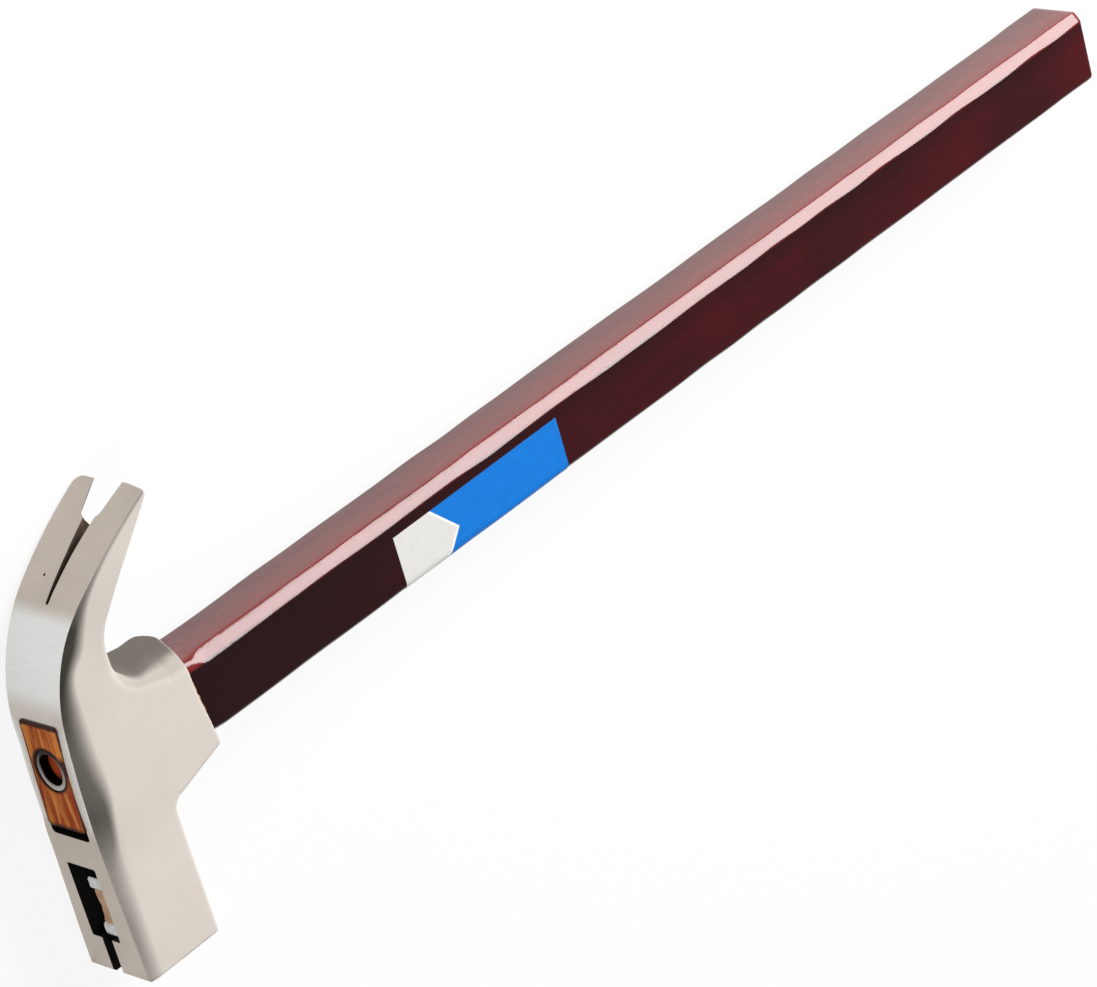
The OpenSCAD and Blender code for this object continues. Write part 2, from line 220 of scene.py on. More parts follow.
def ground_steel():
    finish, tree, shader, place = new_finish("belt_ground_steel", Metallic=1.0, Anisotropic=0.4)
    lines = add(tree, "ShaderNodeMapping", {"Vector": place, "Scale": (1.0, 1.0, 0.06)})
    belt = add(tree, "ShaderNodeTexNoise", {"Vector": lines.outputs[0], "Scale": MM / GRIND_LINE,
                                            "Detail": 2.0})
    drift = add(tree, "ShaderNodeTexNoise", {"Vector": place, "Scale": MM / FORGE_DRIFT, "Detail": 2.0})
    # The attribute holds the buffed knee and a painted highlight on the strip's rims beside the eye.
    bright = add(tree, "ShaderNodeAttribute", attribute_name="buff_and_highlight")
    base = add(tree, "ShaderNodeMix", {FACTOR: drift.outputs["Fac"], COLOUR_A: linear("#b8aea3"),
                                       COLOUR_B: linear("#ccc2b7")}, data_type="RGBA")
    shine = add(tree, "ShaderNodeMix", {FACTOR: bright.outputs["Fac"],
                                        COLOUR_A: base.outputs[COLOUR_OUT],
                                        COLOUR_B: linear("#dedfdc")}, data_type="RGBA")
    streak = add(tree, "ShaderNodeMapRange", {"Value": belt.outputs["Fac"], "From Min": 0.4,
                                              "From Max": 0.7, "To Min": 0.0, "To Max": 0.07})
    lined = add(tree, "ShaderNodeMix", {FACTOR: streak.outputs[0],
                                        COLOUR_A: shine.outputs[COLOUR_OUT],
                                        COLOUR_B: linear("#7d766f")}, data_type="RGBA")
    gloss = add(tree, "ShaderNodeMapRange", {"Value": bright.outputs["Fac"], "To Min": 0.42,
                                             "To Max": 0.24})
    bump = add(tree, "ShaderNodeBump", {"Height": belt.outputs["Fac"], "Strength": 0.04,
                                        "Distance": 0.00003})
    tree.links.new(lined.outputs[COLOUR_OUT], shader.inputs["Base Color"])
    tree.links.new(gloss.outputs[0], shader.inputs["Roughness"])
    tree.links.new(bump.outputs[0], shader.inputs["Normal"])
    return finish


# %% Scaled steel in the cuts
SCALE_PATCH = 2.5        # mm, size of the patches of scale


def scaled_steel(name, dark, light):
    """Forging scale: brown in the slit; near black, scale and painted shade, in the pocket and the eye.
    """
    finish, tree, shader, place = new_finish(name, Metallic=0.6, Roughness=0.6)
    patch = add(tree, "ShaderNodeTexNoise", {"Vector": place, "Scale": MM / SCALE_PATCH, "Detail": 4.0})
    tone = add(tree, "ShaderNodeMix", {FACTOR: patch.outputs["Fac"], COLOUR_A: linear(dark),
                                       COLOUR_B: linear(light)}, data_type="RGBA")
    bump = add(tree, "ShaderNodeBump", {"Height": patch.outputs["Fac"], "Strength": 0.3,
                                        "Distance": 0.0001})
    tree.links.new(tone.outputs[COLOUR_OUT], shader.inputs["Base Color"])
    tree.links.new(bump.outputs[0], shader.inputs["Normal"])
    return finish


CHEEK_STEEL = blasted_steel()
STRIP_STEEL = ground_steel()
SLIT_STEEL = scaled_steel("scaled_slit_steel", "#3a2a22", "#8a7968")
# Near black, in the pocket and on the eye's walls: dark scale and painted shade.
POCKET_SCALE_AND_SHADE = scaled_steel("pocket_scale_and_painted_shade", "#131211", "#2b2826")

# %% [markdown]
# ## The shape of the head
# A forging has no flat cheeks and no sharp corners except where it is ground. A lofted or bevelled
# box would show its construction, so the head is drawn as a field: a function that says how deep
# any point lies inside the steel. The side view gives one distance, the half width of the head at
# that place gives another, and the two are joined with a rounding that changes along the outline.
# The top strip, the eye, the slit and the pocket are cut afterwards, with crisp edges.

# %% A curve through a few anchors
def smooth_curve(anchors):
    """A function that passes smoothly through (station, value) anchors."""
    at, value = np.array(anchors, float).T
    slope = np.gradient(value, at)

    def curve(s):
        s = np.clip(s, at[0], at[-1])
        i = np.clip(np.searchsorted(at, s) - 1, 0, len(at) - 2)
        span = at[i + 1] - at[i]
        t = (s - at[i]) / span
        return ((1 + 2 * t) * (1 - t) ** 2 * value[i] + t * (1 - t) ** 2 * span * slope[i]
                + t * t * (3 - 2 * t) * value[i + 1] + t * t * (t - 1) * span * slope[i + 1])
    return curve


def arc(centre, radius, a0, a1, steps=12):
    """Points of an arc in the side view; angles in degrees from X towards Y."""
    turn = np.radians(np.linspace(a0, a1, steps + 1))
    return np.array(centre) + radius * np.stack([np.cos(turn), np.sin(turn)], 1)


# %% The strip: flat, then three arcs, each tangent to the last
BEND_START = -14         # the strip is flat up to here
SLOW_BEND, KNEE_BEND, CLAW_BEND = 260, 42, 137      # mm, radii
SLOW_ANGLE, KNEE_ANGLE, TIP_ANGLE = 6.6, 53, 66     # degrees, steepness at the end of each arc


def strip_arc(start, radius, a0, a1, steps=14):
    """The strip from a point, along an arc whose steepness goes from a0 to a1."""
    turn = np.radians(np.linspace(a0, a1, steps + 1))
    first = np.radians(a0)
    return start + radius * np.stack([np.cos(first) - np.cos(turn), np.sin(turn) - np.sin(first)], 1)


slow_arc = strip_arc(np.array([0, BEND_START]), SLOW_BEND, 0, SLOW_ANGLE)
knee_arc = strip_arc(slow_arc[-1], KNEE_BEND, SLOW_ANGLE, KNEE_ANGLE, 28)
claw_arc = strip_arc(knee_arc[-1], CLAW_BEND, KNEE_ANGLE, TIP_ANGLE)
claw_tip = claw_arc[-1]
tip_along = np.array([np.sin(np.radians(TIP_ANGLE)), np.cos(np.radians(TIP_ANGLE))])
PAST = 4                 # how far the blank runs beyond the face and the tips, before they are cut
strip = np.concatenate([[[0, -POLL_LEN - PAST]], slow_arc, knee_arc[1:], claw_arc[1:],
                        [claw_tip + PAST * tip_along]])
print("claw tip at", claw_tip.round(2), "mm, strip points:", len(strip))

# %% The underside of the claws, the throat, the socket and the poll
ROOT_T, TIP_T = 10.2, 0.8               # claws' thickness at the knee and at the tips
TAPER = 0.85             # below 1, the claws thicken faster near the tips
ROOT_X = 21              # depth of the claws' root
THROAT_ANGLE = 41        # degrees that the throat turns, under the knee
ROOT_FILLET = 7.5        # radius between the throat and the socket
SOCKET_CLAW_Y = 17.05    # the socket's claw side
SOCKET_FACE_Y = -13.65   # its face side, at its end
SOCKET_POLL_Y = -18.25   # its face side, where it meets the poll
HEAD_DEPTH = 43.5        # from the top strip to the socket's end
FACE_H = 24.7            # height of the poll
POLL_FILLET = 3.5        # radius between the poll and the socket
SPARE = 8                # the blank's socket is longer by this, before its end is shaped
BLANK_END = HEAD_DEPTH + SPARE


def underside():
    """The claws' underside from the tips to the throat."""
    steep = np.linspace(TIP_ANGLE, KNEE_ANGLE, 15)
    outer = claw_arc[::-1]
    left = (TIP_ANGLE - steep) / (TIP_ANGLE - KNEE_ANGLE)
    thick = TIP_T + (ROOT_T - TIP_T) * left ** TAPER
    turn = np.radians(steep)
    return outer + thick[:, None] * np.stack([np.cos(turn), -np.sin(turn)], 1)


below = underside()
throat_r = (below[-1][0] - ROOT_X) / (1 - np.cos(np.radians(THROAT_ANGLE)))
throat_centre = [ROOT_X + throat_r, below[-1][1] - throat_r * np.sin(np.radians(THROAT_ANGLE))]
root_centre = [ROOT_X + ROOT_FILLET, SOCKET_CLAW_Y + ROOT_FILLET]
poll_centre = [FACE_H + POLL_FILLET, SOCKET_POLL_Y - POLL_FILLET]
face_slope = (SOCKET_FACE_Y - SOCKET_POLL_Y) / (HEAD_DEPTH - FACE_H - POLL_FILLET)
print("throat radius", round(throat_r, 2), "mm")

# %% The closed outline, with the rounding that each stretch has towards the cheeks
PROUD = 0.9              # the strip is left proud, and ground away later
STRIP_EDGE, CLAW_EDGE = 0.5, 1.5        # at the tips, and under the claws at the throat
THROAT_EDGE = (1.6, 2.2)                # from the claws to the root
ROOT_EDGE = (2.2, 5)                    # from the root to the socket
SOCKET_EDGE = 8
UNDER_EDGE, POLL_EDGE = 1.7, 1.5        # the socket's face side, and the poll


def rounded_stretch(points, r0, r1):
    """Points of the outline, each with its rounding, which goes evenly from r0 to r1."""
    points = np.atleast_2d(points)
    return np.column_stack([points, np.linspace(r0, r1, len(points))])


strip_turn = np.gradient(strip, axis=0)
strip_out = np.stack([-strip_turn[:, 1], strip_turn[:, 0]], 1)
strip_out /= np.hypot(*strip_out.T)[:, None]
outline = np.concatenate([
    rounded_stretch(strip + PROUD * strip_out, STRIP_EDGE, STRIP_EDGE),
    rounded_stretch(below[:1] + PAST * tip_along, STRIP_EDGE, STRIP_EDGE),
    rounded_stretch(below, STRIP_EDGE, CLAW_EDGE),
    rounded_stretch(arc(throat_centre, throat_r, 180 - THROAT_ANGLE, 180)[1:], *THROAT_EDGE),
    rounded_stretch(arc(root_centre, ROOT_FILLET, 180, 270), *ROOT_EDGE),
    rounded_stretch([[HEAD_DEPTH - SPARE, SOCKET_CLAW_Y], [BLANK_END, SOCKET_CLAW_Y]],
                    SOCKET_EDGE, SOCKET_EDGE),
    rounded_stretch([[BLANK_END, SOCKET_FACE_Y + face_slope * SPARE]], UNDER_EDGE, UNDER_EDGE),
    rounded_stretch(arc(poll_centre, POLL_FILLET, 90, 180), UNDER_EDGE, POLL_EDGE),
    rounded_stretch([[FACE_H, -POLL_LEN - PAST]], POLL_EDGE, POLL_EDGE),
])
print("outline points:", len(outline))

# %% Half width of the head, from stations along the strip
# Each pair is a Y along the strip and a value in mm: the strip's half width, how far the cheek
# stands out beyond it, and how deep under the strip the cheek is reached.
STRIP_HALF = smooth_curve([(-57.5, 11), (-46, 10.85), (-34, 10.4), (-21, 9.95), (-8, 10.1), (4, 10.2),
                           (14, 10.1), (23, 10.2), (35, 10.6), (44, 11.5), (50, 12.05), (60.4, 12.55)])
CHEEK_OUT = smooth_curve([(-57.5, 0.8), (-40, 1.3), (-21, 1.6), (-10, 1.8), (12, 1.8), (20, 1.4),
                          (30, 0.8), (40, 0.4), (60.4, 0.1)])
SHOULDER = smooth_curve([(-57.5, 4), (-40, 5), (-21, 7), (0, 7.5), (10, 6.5), (20, 4.5), (30, 3),
                         (40, 1.6), (60.4, 0.8)])
CLAW_LEAN = 0.3          # mm, the claws lie this much to one side of the middle
FAR_RIM_WORN = 0.8       # mm, the strip is narrower on the other side, beside the eye
CLAW_LEAN_Y = (34, 50)   # the lean grows between these two Y
FAR_RIM_X = (1, 5)       # the wear of the far rim fades out between these depths
FAR_RIM_Y = (-18, -10, 6, 16)           # and it grows and fades between these Y
SOCKET_HALF = 11.05      # half width at the socket's end
EYE_HALF = 12            # and at the eye
TAPER_START = 8          # depth at which the cheeks start to taper towards the socket's end
TAPER_MOST = 1.3         # the taper goes on this much beyond the end, in the spare length
SOCKET_SIDE_Y = (17, 26) # between these Y the cheeks pass from the socket's taper to the claws
CLAW_ROOM = 3            # the claws may be wider than the eye by this
TAPER_EASE = 0.5         # mm, softness of the passage to the taper


def smooth_step(value, start, end):
    """0 before start and 1 after end, with a soft passage between."""
    t = np.clip((value - start) / (end - start), 0, 1)
    return t * t * (3 - 2 * t)


def nearest(points, line):
    """Distance from side-view points to a line, positive on its right, and its third value there."""
    gap = np.full(len(points), np.inf)
    carried = np.zeros(len(points))
    for a, b in zip(line[:-1], line[1:]):
        edge = b[:2] - a[:2]
        rel = points - a[:2]
        t = np.clip(rel @ edge / (edge @ edge), 0, 1)
        far = np.hypot(rel[:, 0] - t * edge[0], rel[:, 1] - t * edge[1])
        closer = far < np.abs(gap)
        on_right = rel[:, 0] * edge[1] > rel[:, 1] * edge[0]
        gap = np.where(closer, np.where(on_right, far, -far), gap)
        carried = np.where(closer, a[2] + t * (b[2] - a[2]), carried)
    return gap, carried


strip_line = np.column_stack([strip, strip[:, 1]])
closed_outline = np.vstack([outline, outline[:1]])


def half_width(points):
    """Half the head's width at side-view points: strip, shoulder, cheek and the socket's taper."""
    depth, station = nearest(points, strip_line)
    t = np.clip(depth / SHOULDER(station), 0, 1)
    cheek = STRIP_HALF(station) + CHEEK_OUT(station) * t * (2 - t)
    along = np.clip((points[:, 0] - TAPER_START) / (HEAD_DEPTH - TAPER_START), 0, TAPER_MOST)
    near_socket = 1 - smooth_step(points[:, 1], *SOCKET_SIDE_Y)
    taper = EYE_HALF - (EYE_HALF - SOCKET_HALF) * along * near_socket
    return round_min(cheek, taper + CLAW_ROOM * (1 - near_socket), TAPER_EASE)


def round_min(a, b, r):
    """The smaller of two values, with the change from one to the other eased over about r."""
    h = np.clip(0.5 + 0.5 * (b - a) / r, 0, 1)
    return b + (a - b) * h - r * h * (1 - h)


def round_max(a, b, r):
    """The larger of two distances, with the corner where they meet rounded to radius r."""
    u = np.maximum(a + r, 0)
    v = np.maximum(b + r, 0)
    return np.minimum(-r, np.maximum(a, b)) + np.hypot(u, v)


# %% The ends: striking face, claw tips and the socket's scalloped end
FACE_RIM = 0.7           # mm, rounding round the striking face
END_RIM = 0.5            # mm, rounding round the socket's end
SOCKET_SLANT = 3.2       # the socket is shorter on the claw side by this much
SCALLOP_CLAW = 1.7       # and comes forward again in the middle of the claw side
SCALLOP_CLAW_Z = 4.5     # breadth of that tongue
SCALLOP_CLAW_Y = (8, 15) # it grows between these two Y
SCALLOP_CHEEK = 0.4      # and the end falls back a little in the middle of each cheek
SCALLOP_CHEEK_Y = (2, 6) # middle and breadth of that hollow
END_REACH = 1.5          # the end is shaped up to this far above the socket's claw side
TIP_EDGE = 0.15          # rounding of the claws' cutting edges
NEAR_TIP_ROUND = 0.9     # corners of the two claws, as ground: one is worn rounder and shorter
NEAR_TIP_SLANT = 0.13    # slope of the near tip, from half its width outwards
NEAR_TIP_Z = STRIP_HALF(60) / 2
FAR_TIP_ROUND = 2.8
FAR_TIP_WORN = 0.6
WAVES = 9
WAVE_SPREAD = (5, 12)    # mm, range of the scale of the forging's unevenness
dice = np.random.default_rng(11)
WAVE = dice.normal(size=(WAVES, 3)) / dice.uniform(*WAVE_SPREAD, size=(WAVES, 1))
PHASE = dice.uniform(0, 2 * math.pi, size=WAVES)
WAVE_HEIGHT = 0.02       # mm, unevenness that the forging die leaves, for each wave


def socket_end(y, z):
    """Depth of the socket's end at a place round its rim."""
    slant = SOCKET_SLANT * (y - SOCKET_FACE_Y) / (SOCKET_CLAW_Y - SOCKET_FACE_Y)
    claw_side = np.clip((y - SCALLOP_CLAW_Y[0]) / (SCALLOP_CLAW_Y[1] - SCALLOP_CLAW_Y[0]), 0, 1)
    tongue = SCALLOP_CLAW * claw_side * np.exp(-(z / SCALLOP_CLAW_Z) ** 2)
    hollow = SCALLOP_CHEEK * np.exp(-((y - SCALLOP_CHEEK_Y[0]) / SCALLOP_CHEEK_Y[1]) ** 2)
    return HEAD_DEPTH - slant + tongue - hollow


def steel_field(side, soft, half, x, y, z):
    """How far points lie outside the head's steel, from their side-view distance and half width."""
    ripple = sum(np.sin(x * w[0] + y * w[1] + z * w[2] + p) for w, p in zip(WAVE, PHASE))
    beside_eye = smooth_step(y, *FAR_RIM_Y[:2]) * (1 - smooth_step(y, *FAR_RIM_Y[2:]))
    wear_and_sheen = FAR_RIM_WORN * beside_eye * (1 - smooth_step(x, *FAR_RIM_X)) * (z < 0)
    wide = np.abs(z - CLAW_LEAN * smooth_step(y, *CLAW_LEAN_Y)) - half + wear_and_sheen
    field = round_max(side, wide, soft) + WAVE_HEIGHT * ripple
    field = round_max(field, -y - POLL_LEN, FACE_RIM)
    past_tip = (x - claw_tip[0]) * tip_along[0] + (y - claw_tip[1]) * tip_along[1]
    slanted = past_tip + NEAR_TIP_SLANT * np.maximum(z - NEAR_TIP_Z, 0)
    corner = np.where(z < 0, round_max(wide, past_tip + FAR_TIP_WORN, FAR_TIP_ROUND),
                      round_max(wide, slanted, NEAR_TIP_ROUND))
    field = round_max(field, corner, TIP_EDGE)
    past_end = np.where(y < SOCKET_CLAW_Y + END_REACH, x - socket_end(y, z), -SPARE)
    return round_max(field, past_end, END_RIM)


def side_values(points):
    """Side-view distance, rounding and half width at side-view points."""
    inside, soft = nearest(points, closed_outline)
    return -inside, soft, half_width(points)


def field_at(points):
    side, soft, half = side_values(points[:, :2])
    return steel_field(side, soft, half, *points.T)


# %% Quads round every place where the field changes sign
def surface_net(field):
    """Vertices in grid units and outward quads, one vertex for each cell that the surface meets."""
    shape = field.shape
    total = np.zeros((field.size, 3))
    count = np.zeros(field.size)
    quads = []
    for axis in range(3):
        u, v = (axis + 1) % 3, (axis + 2) % 3
        first = field.take(range(shape[axis] - 1), axis)
        second = field.take(range(1, shape[axis]), axis)
        at = np.argwhere((first < 0) != (second < 0))
        a = first[tuple(at.T)]
        b = second[tuple(at.T)]
        cross = at.astype(float)
        cross[:, axis] += a / (a - b)
        cells = []
        for du, dv in ((-1, -1), (0, -1), (0, 0), (-1, 0)):
            cell = at.copy()
            cell[:, u] += du
            cell[:, v] += dv
            flat = np.ravel_multi_index(cell.T, shape)
            np.add.at(total, flat, cross)
            np.add.at(count, flat, 1)
            cells.append(flat)
        quad = np.stack(cells, 1)
        quads.append(np.where((a < 0)[:, None], quad, quad[:, ::-1]))
    used = np.flatnonzero(count)
    number = np.full(field.size, -1)
    number[used] = np.arange(len(used))
    return total[used] / count[used, None], number[np.concatenate(quads)]


# %% The forged blank
GRID = 0.5               # mm, spacing of the samples
NUDGE = 0.01             # mm, step for the field's slope
SAMPLED_FROM = (-1.75, -59, -13.75)     # the sampled box, a little larger than the steel
SAMPLED_TO = (46.25, 62, 13.75)


def forged_blank():
    """Samples the field, nets its surface and slides every vertex onto the exact surface."""
    xs, ys, zs = (np.arange(a, b, GRID) for a, b in zip(SAMPLED_FROM, SAMPLED_TO))
    flat = np.stack(np.meshgrid(xs, ys, indexing="ij"), -1).reshape(-1, 2)
    side, soft, half = (v.reshape(len(xs), len(ys), 1) for v in side_values(flat))
    field = steel_field(side, soft, half, xs[:, None, None], ys[None, :, None], zs[None, None, :])
    points, quads = surface_net(field)
    points = np.array(SAMPLED_FROM) + GRID * points
    for _ in range(2):
        value = field_at(points)
        slope = np.stack([(field_at(points + NUDGE * np.eye(3)[i]) - value) / NUDGE
                          for i in range(3)], 1)
        step = -value / np.maximum((slope ** 2).sum(1), 0.2)
        points += np.clip(step, -GRID / 2, GRID / 2)[:, None] * slope
    return new_piece("forged_head", points, quads, [CHEEK_STEEL])


forged_head = forged_blank()
print("blank:", len(forged_head.data.vertices), "vertices")

# %% [markdown]
# ## Cutting the head
# Grinding, punching and sawing are what give the real head its crisp edges: the belt takes the
# strip down, the eye is punched and drifted, the slit is milled and the nail pocket is pressed. A
# closed skin through a few rings makes each cutter, and a Boolean takes it out of the blank. A
# cutter's own material stays on the faces that it leaves.

# %% A closed skin through rings of points
def loft(rings):
    """Points and faces of a skin through rings with equal numbers of points, closed at both ends."""
    n = len(rings[0])
    last = (len(rings) - 1) * n
    faces = [[k * n + i, k * n + (i + 1) % n, (k + 1) * n + (i + 1) % n, (k + 1) * n + i]
             for k in range(len(rings) - 1) for i in range(n)]
    faces.append(list(range(n))[::-1])
    faces.append(list(range(last, last + n)))
    return np.concatenate(rings), faces


def outward(piece):
    """Turns every face of a closed piece outwards."""
    shell = bmesh.new()
    shell.from_mesh(piece.data)
    bmesh.ops.recalc_face_normals(shell, faces=shell.faces)
    shell.to_mesh(piece.data)
    shell.free()
    return piece


FACET_FROM, FACET_TO = 46, 64           # degrees: this part of a corner may be flatter than its ends
CORNER_TURNS = np.radians(np.concatenate([
    np.linspace(0, FACET_FROM, 5),
    np.linspace(FACET_FROM, FACET_TO, 6)[1:],
    np.linspace(FACET_TO, 90, 5)[1:]]))
SIDE_STEPS = 5           # faces along each straight side of a ring


def corner_row(tight, crown):
    """A corner's points, tangent to tangent. tight is the radius of its ends, crown of its facet."""
    middle = np.degrees(CORNER_TURNS[:-1] + CORNER_TURNS[1:]) / 2
    radius = np.where((middle > FACET_FROM) & (middle < FACET_TO), crown, tight)
    step = radius[:, None] * np.diff(np.stack([np.cos(CORNER_TURNS), np.sin(CORNER_TURNS)], 1), axis=0)
    row = np.vstack([[0, 0], step.cumsum(0)])
    return row - [0, row[-1, 1]]


def eased_ring(y0, y1, half, corners):
    """A rectangle across the handle, as (y, z) points. Each corner has an end radius and a crown."""
    rows = []
    for k, (y, z) in enumerate(((y1, half), (y0, half), (y0, -half), (y1, -half))):
        turn = np.array([[math.cos(k * math.pi / 2), -math.sin(k * math.pi / 2)],
                         [math.sin(k * math.pi / 2), math.cos(k * math.pi / 2)]])
        rows.append(corner_row(*corners[k]) @ turn.T + [y, z])
    rows.append(rows[0][:1])
    ring = [rows[0]]
    for before, after in zip(rows[:-1], rows[1:]):
        share = np.linspace(0, 1, SIDE_STEPS + 1)[1:-1, None]
        ring.append(before[-1] * (1 - share) + after[0] * share)
        ring.append(after)
    return np.concatenate(ring)[:-1]


def rounded_ring(y0, y1, half, r):
    """A rectangle across the handle whose corners are plain arcs."""
    return eased_ring(y0, y1, half, [(r, r)] * 4)


def cut_from(piece, cutters):
    """Takes cutters out of a closed piece. Their faces keep their own materials."""
    for cutter in cutters:
        bite = piece.modifiers.new("cut", "BOOLEAN")
        bite.object = cutter
        bite.operation = "DIFFERENCE"
        bite.solver = "MANIFOLD"
        bite.material_mode = "TRANSFER"
    finished = piece.evaluated_get(bpy.context.evaluated_depsgraph_get())
    piece.data, old = bpy.data.meshes.new_from_object(finished), piece.data
    piece.modifiers.clear()
    bpy.data.meshes.remove(old)
    for cutter in cutters:
        bpy.data.objects.remove(cutter)


# %% The handle's tang, which also shapes the eye
HANDLE_W, HANDLE_T, HANDLE_R = 22.1, 18.9, 3        # the handle's section and its edges' radius
WOOD_W, WOOD_T, WOOD_R = 29.8, 14, 1.2  # the wood's end in the eye
WOOD_PROUD = 0.4         # and how far it stands out of the strip
EYE_GAP = 2.7            # the eye is longer than the wood on the face side
TANG_END = HEAD_DEPTH + 1               # from here on the handle has its own section
wood_claw_y = (WOOD_W + EYE_GAP) / 2
wood_face_y = wood_claw_y - WOOD_W
strip_rise = np.interp([wood_face_y, wood_claw_y], strip[:, 1], strip[:, 0])
end_slope = (strip_rise[1] - strip_rise[0]) / WOOD_W


def tang_ring(t, fit=0, gap=0):
    """A ring of the tang, from the wood's end at t = 0 to the handle's own section at t = 1."""
    end = rounded_ring(wood_face_y - gap - fit, wood_claw_y + fit, WOOD_T / 2 + fit, WOOD_R)
    shaft = rounded_ring(-HANDLE_W / 2 - fit, HANDLE_W / 2 + fit, HANDLE_T / 2 + fit, HANDLE_R)
    end_x = (end[:, 0] - wood_face_y) * end_slope - WOOD_PROUD
    yz = end + (shaft - end) * t
    return np.column_stack([end_x + (TANG_END - end_x) * t, yz])


print("wood's end from y", round(wood_face_y, 2), "to", round(wood_claw_y, 2),
      "slope", round(end_slope, 3))

# %% Cutters for the strip, the eye and the nail holder
FACE_CHAMFER = 0.8       # between the striking face and the strip
HEAD_HALF = 18           # cutters reach past both cheeks
BELT_PAST = 2            # the belt's cutter reaches past the striking face by this
TANG_FIT = 0.05          # room round the tang in the eye
POCKET_FRONT, POCKET_LEN, POCKET_W, POCKET_DEPTH = 10.6, 22, 10.6, 5
POCKET_SIDE = 4.6        # the pocket's wall that carries the magnets
POCKET_R, GROOVE_R = 0.5, 0.3           # corners of the pocket and of the groove
GROOVE_Z = (-2.5, 1.3)   # the groove's two sides
GROOVE_DEPTH = 4
groove_w = GROOVE_Z[1] - GROOVE_Z[0]
pocket_y0 = POCKET_FRONT - POLL_LEN


def prism(name, side_points, half, finish):
    """A straight cutter from a side-view outline, through both cheeks."""
    rings = [np.column_stack([side_points, np.full(len(side_points), z)]) for z in (-half, half)]
    return outward(new_piece(name, *loft(rings), [finish]))


def sunk(name, ring, x0, x1, finish):
    """A straight cutter that goes down into the strip, from an outline in (y, z)."""
    rings = [np.column_stack([np.full(len(ring), x), ring]) for x in (x0, x1)]
    return outward(new_piece(name, *loft(rings), [finish]))


belt = prism("belt", np.concatenate([
    [[FACE_CHAMFER + BELT_PAST, -POLL_LEN - BELT_PAST], [0, FACE_CHAMFER - POLL_LEN]], strip[1:],
    [[-PAST, strip[-1][1]], [-PAST, -POLL_LEN - BELT_PAST]]]), HEAD_HALF, STRIP_STEEL)
eye = outward(new_piece("eye", *loft([tang_ring(t, TANG_FIT, EYE_GAP) for t in (-0.1, 1.1)]),
                        [POCKET_SCALE_AND_SHADE]))
pocket = sunk("pocket", rounded_ring(pocket_y0, pocket_y0 + POCKET_LEN, POCKET_W / 2, POCKET_R)
              + [0, POCKET_SIDE - POCKET_W / 2], -PAST, POCKET_DEPTH, POCKET_SCALE_AND_SHADE)
groove = sunk("groove", rounded_ring(-POLL_LEN - PAST, pocket_y0 + 1, groove_w / 2, GROOVE_R)
              + [0, sum(GROOVE_Z) / 2], -PAST, GROOVE_DEPTH, POCKET_SCALE_AND_SHADE)

# %% Cutters for the V notch, the nail slit and the punch mark
NOTCH_LEN, NOTCH_ROUND = 8.1, 3.6       # from the tips to the centre of the V's round bottom
NOTCH_SIDES = (4.4, -6.0)               # where its two flanks reach the tips
SLIT_W, SLIT_MID_W, SLIT_END_W = 3.7, 2.1, 1        # it narrows in two straight runs
SLIT_MID, SLIT_END = 21.8, 34.4         # from the tips
SLIT_OFF = 0.5           # mm, the slit lies this much to one side of the middle
SLIT_THROUGH = (-12, 16) # its cutter starts above the claws and ends under them
BEVEL = math.tan(math.radians(47))      # the V is cut under at this slope, to grip a nail's head
BEVEL_DEPTH = 9          # the bevel goes right through the claws
ABOVE = 6                # cutters start this far above the claws' outer face


def on_claw(turn, ring, w):
    """Points (along, across) on the claws' outer face, w mm under it, for a face this steep."""
    along = np.array([math.sin(turn), math.cos(turn)])
    deep = np.array([math.cos(turn), -math.sin(turn)])
    return np.column_stack([claw_tip + ring[:, :1] * along + w * deep, ring[:, 1]])


def notch_ring(wider):
    """The V notch: a round bottom and two flanks, drawn wider across the claws by a margin."""
    halves = []
    for reach in NOTCH_SIDES:
        flank = math.atan((abs(reach) - NOTCH_ROUND) / NOTCH_LEN)
        half_ring = np.concatenate([
            arc([-NOTCH_LEN, 0], NOTCH_ROUND, 180, 90 + math.degrees(flank), 12),
            [[0, abs(reach)], [2 * PAST, abs(reach) + 2 * PAST * math.tan(flank)]]])
        half_ring[1:, 1] += wider
        halves.append(half_ring * [1, math.copysign(1, reach)])
    return np.concatenate([halves[0], halves[1][:0:-1]])


notch_turn = math.radians(TIP_ANGLE) - NOTCH_LEN / CLAW_BEND / 2
notch = outward(new_piece("notch", *loft([
    on_claw(notch_turn, notch_ring(wider), w)
    for wider, w in ((0, -ABOVE), (0, 0.1), (BEVEL_DEPTH * BEVEL, BEVEL_DEPTH))]), [SLIT_STEEL]))

slit_turn = math.radians((KNEE_ANGLE + TIP_ANGLE) / 2)
slit_half = np.concatenate([
    arc([-SLIT_END, 0], SLIT_END_W / 2, 180, 90, 6),
    [[-SLIT_MID, SLIT_MID_W / 2], [-NOTCH_LEN - NOTCH_ROUND, SLIT_W / 2], [-NOTCH_LEN, SLIT_W / 2]]])
slit_ring = np.concatenate([slit_half, (slit_half * [1, -1])[:0:-1]]) + [0, SLIT_OFF]
slit = outward(new_piece("slit", *loft([on_claw(slit_turn, slit_ring, w) for w in SLIT_THROUGH]),
                         [SLIT_STEEL]))

PUNCH_MARK = (-27.9, -4.5)              # along the claws from the tips, and across
PUNCH_R, PUNCH_DEEP = 0.4, 0.15
punch_circle = arc([0, 0], 1, 0, 360, 16)[:-1]
punch = outward(new_piece("punch", *loft([
    on_claw(slit_turn, PUNCH_MARK + r * punch_circle, w)
    for r, w in ((PUNCH_R, -ABOVE), (PUNCH_R, -PUNCH_DEEP), (0.1, PUNCH_DEEP))]), [SLIT_STEEL]))

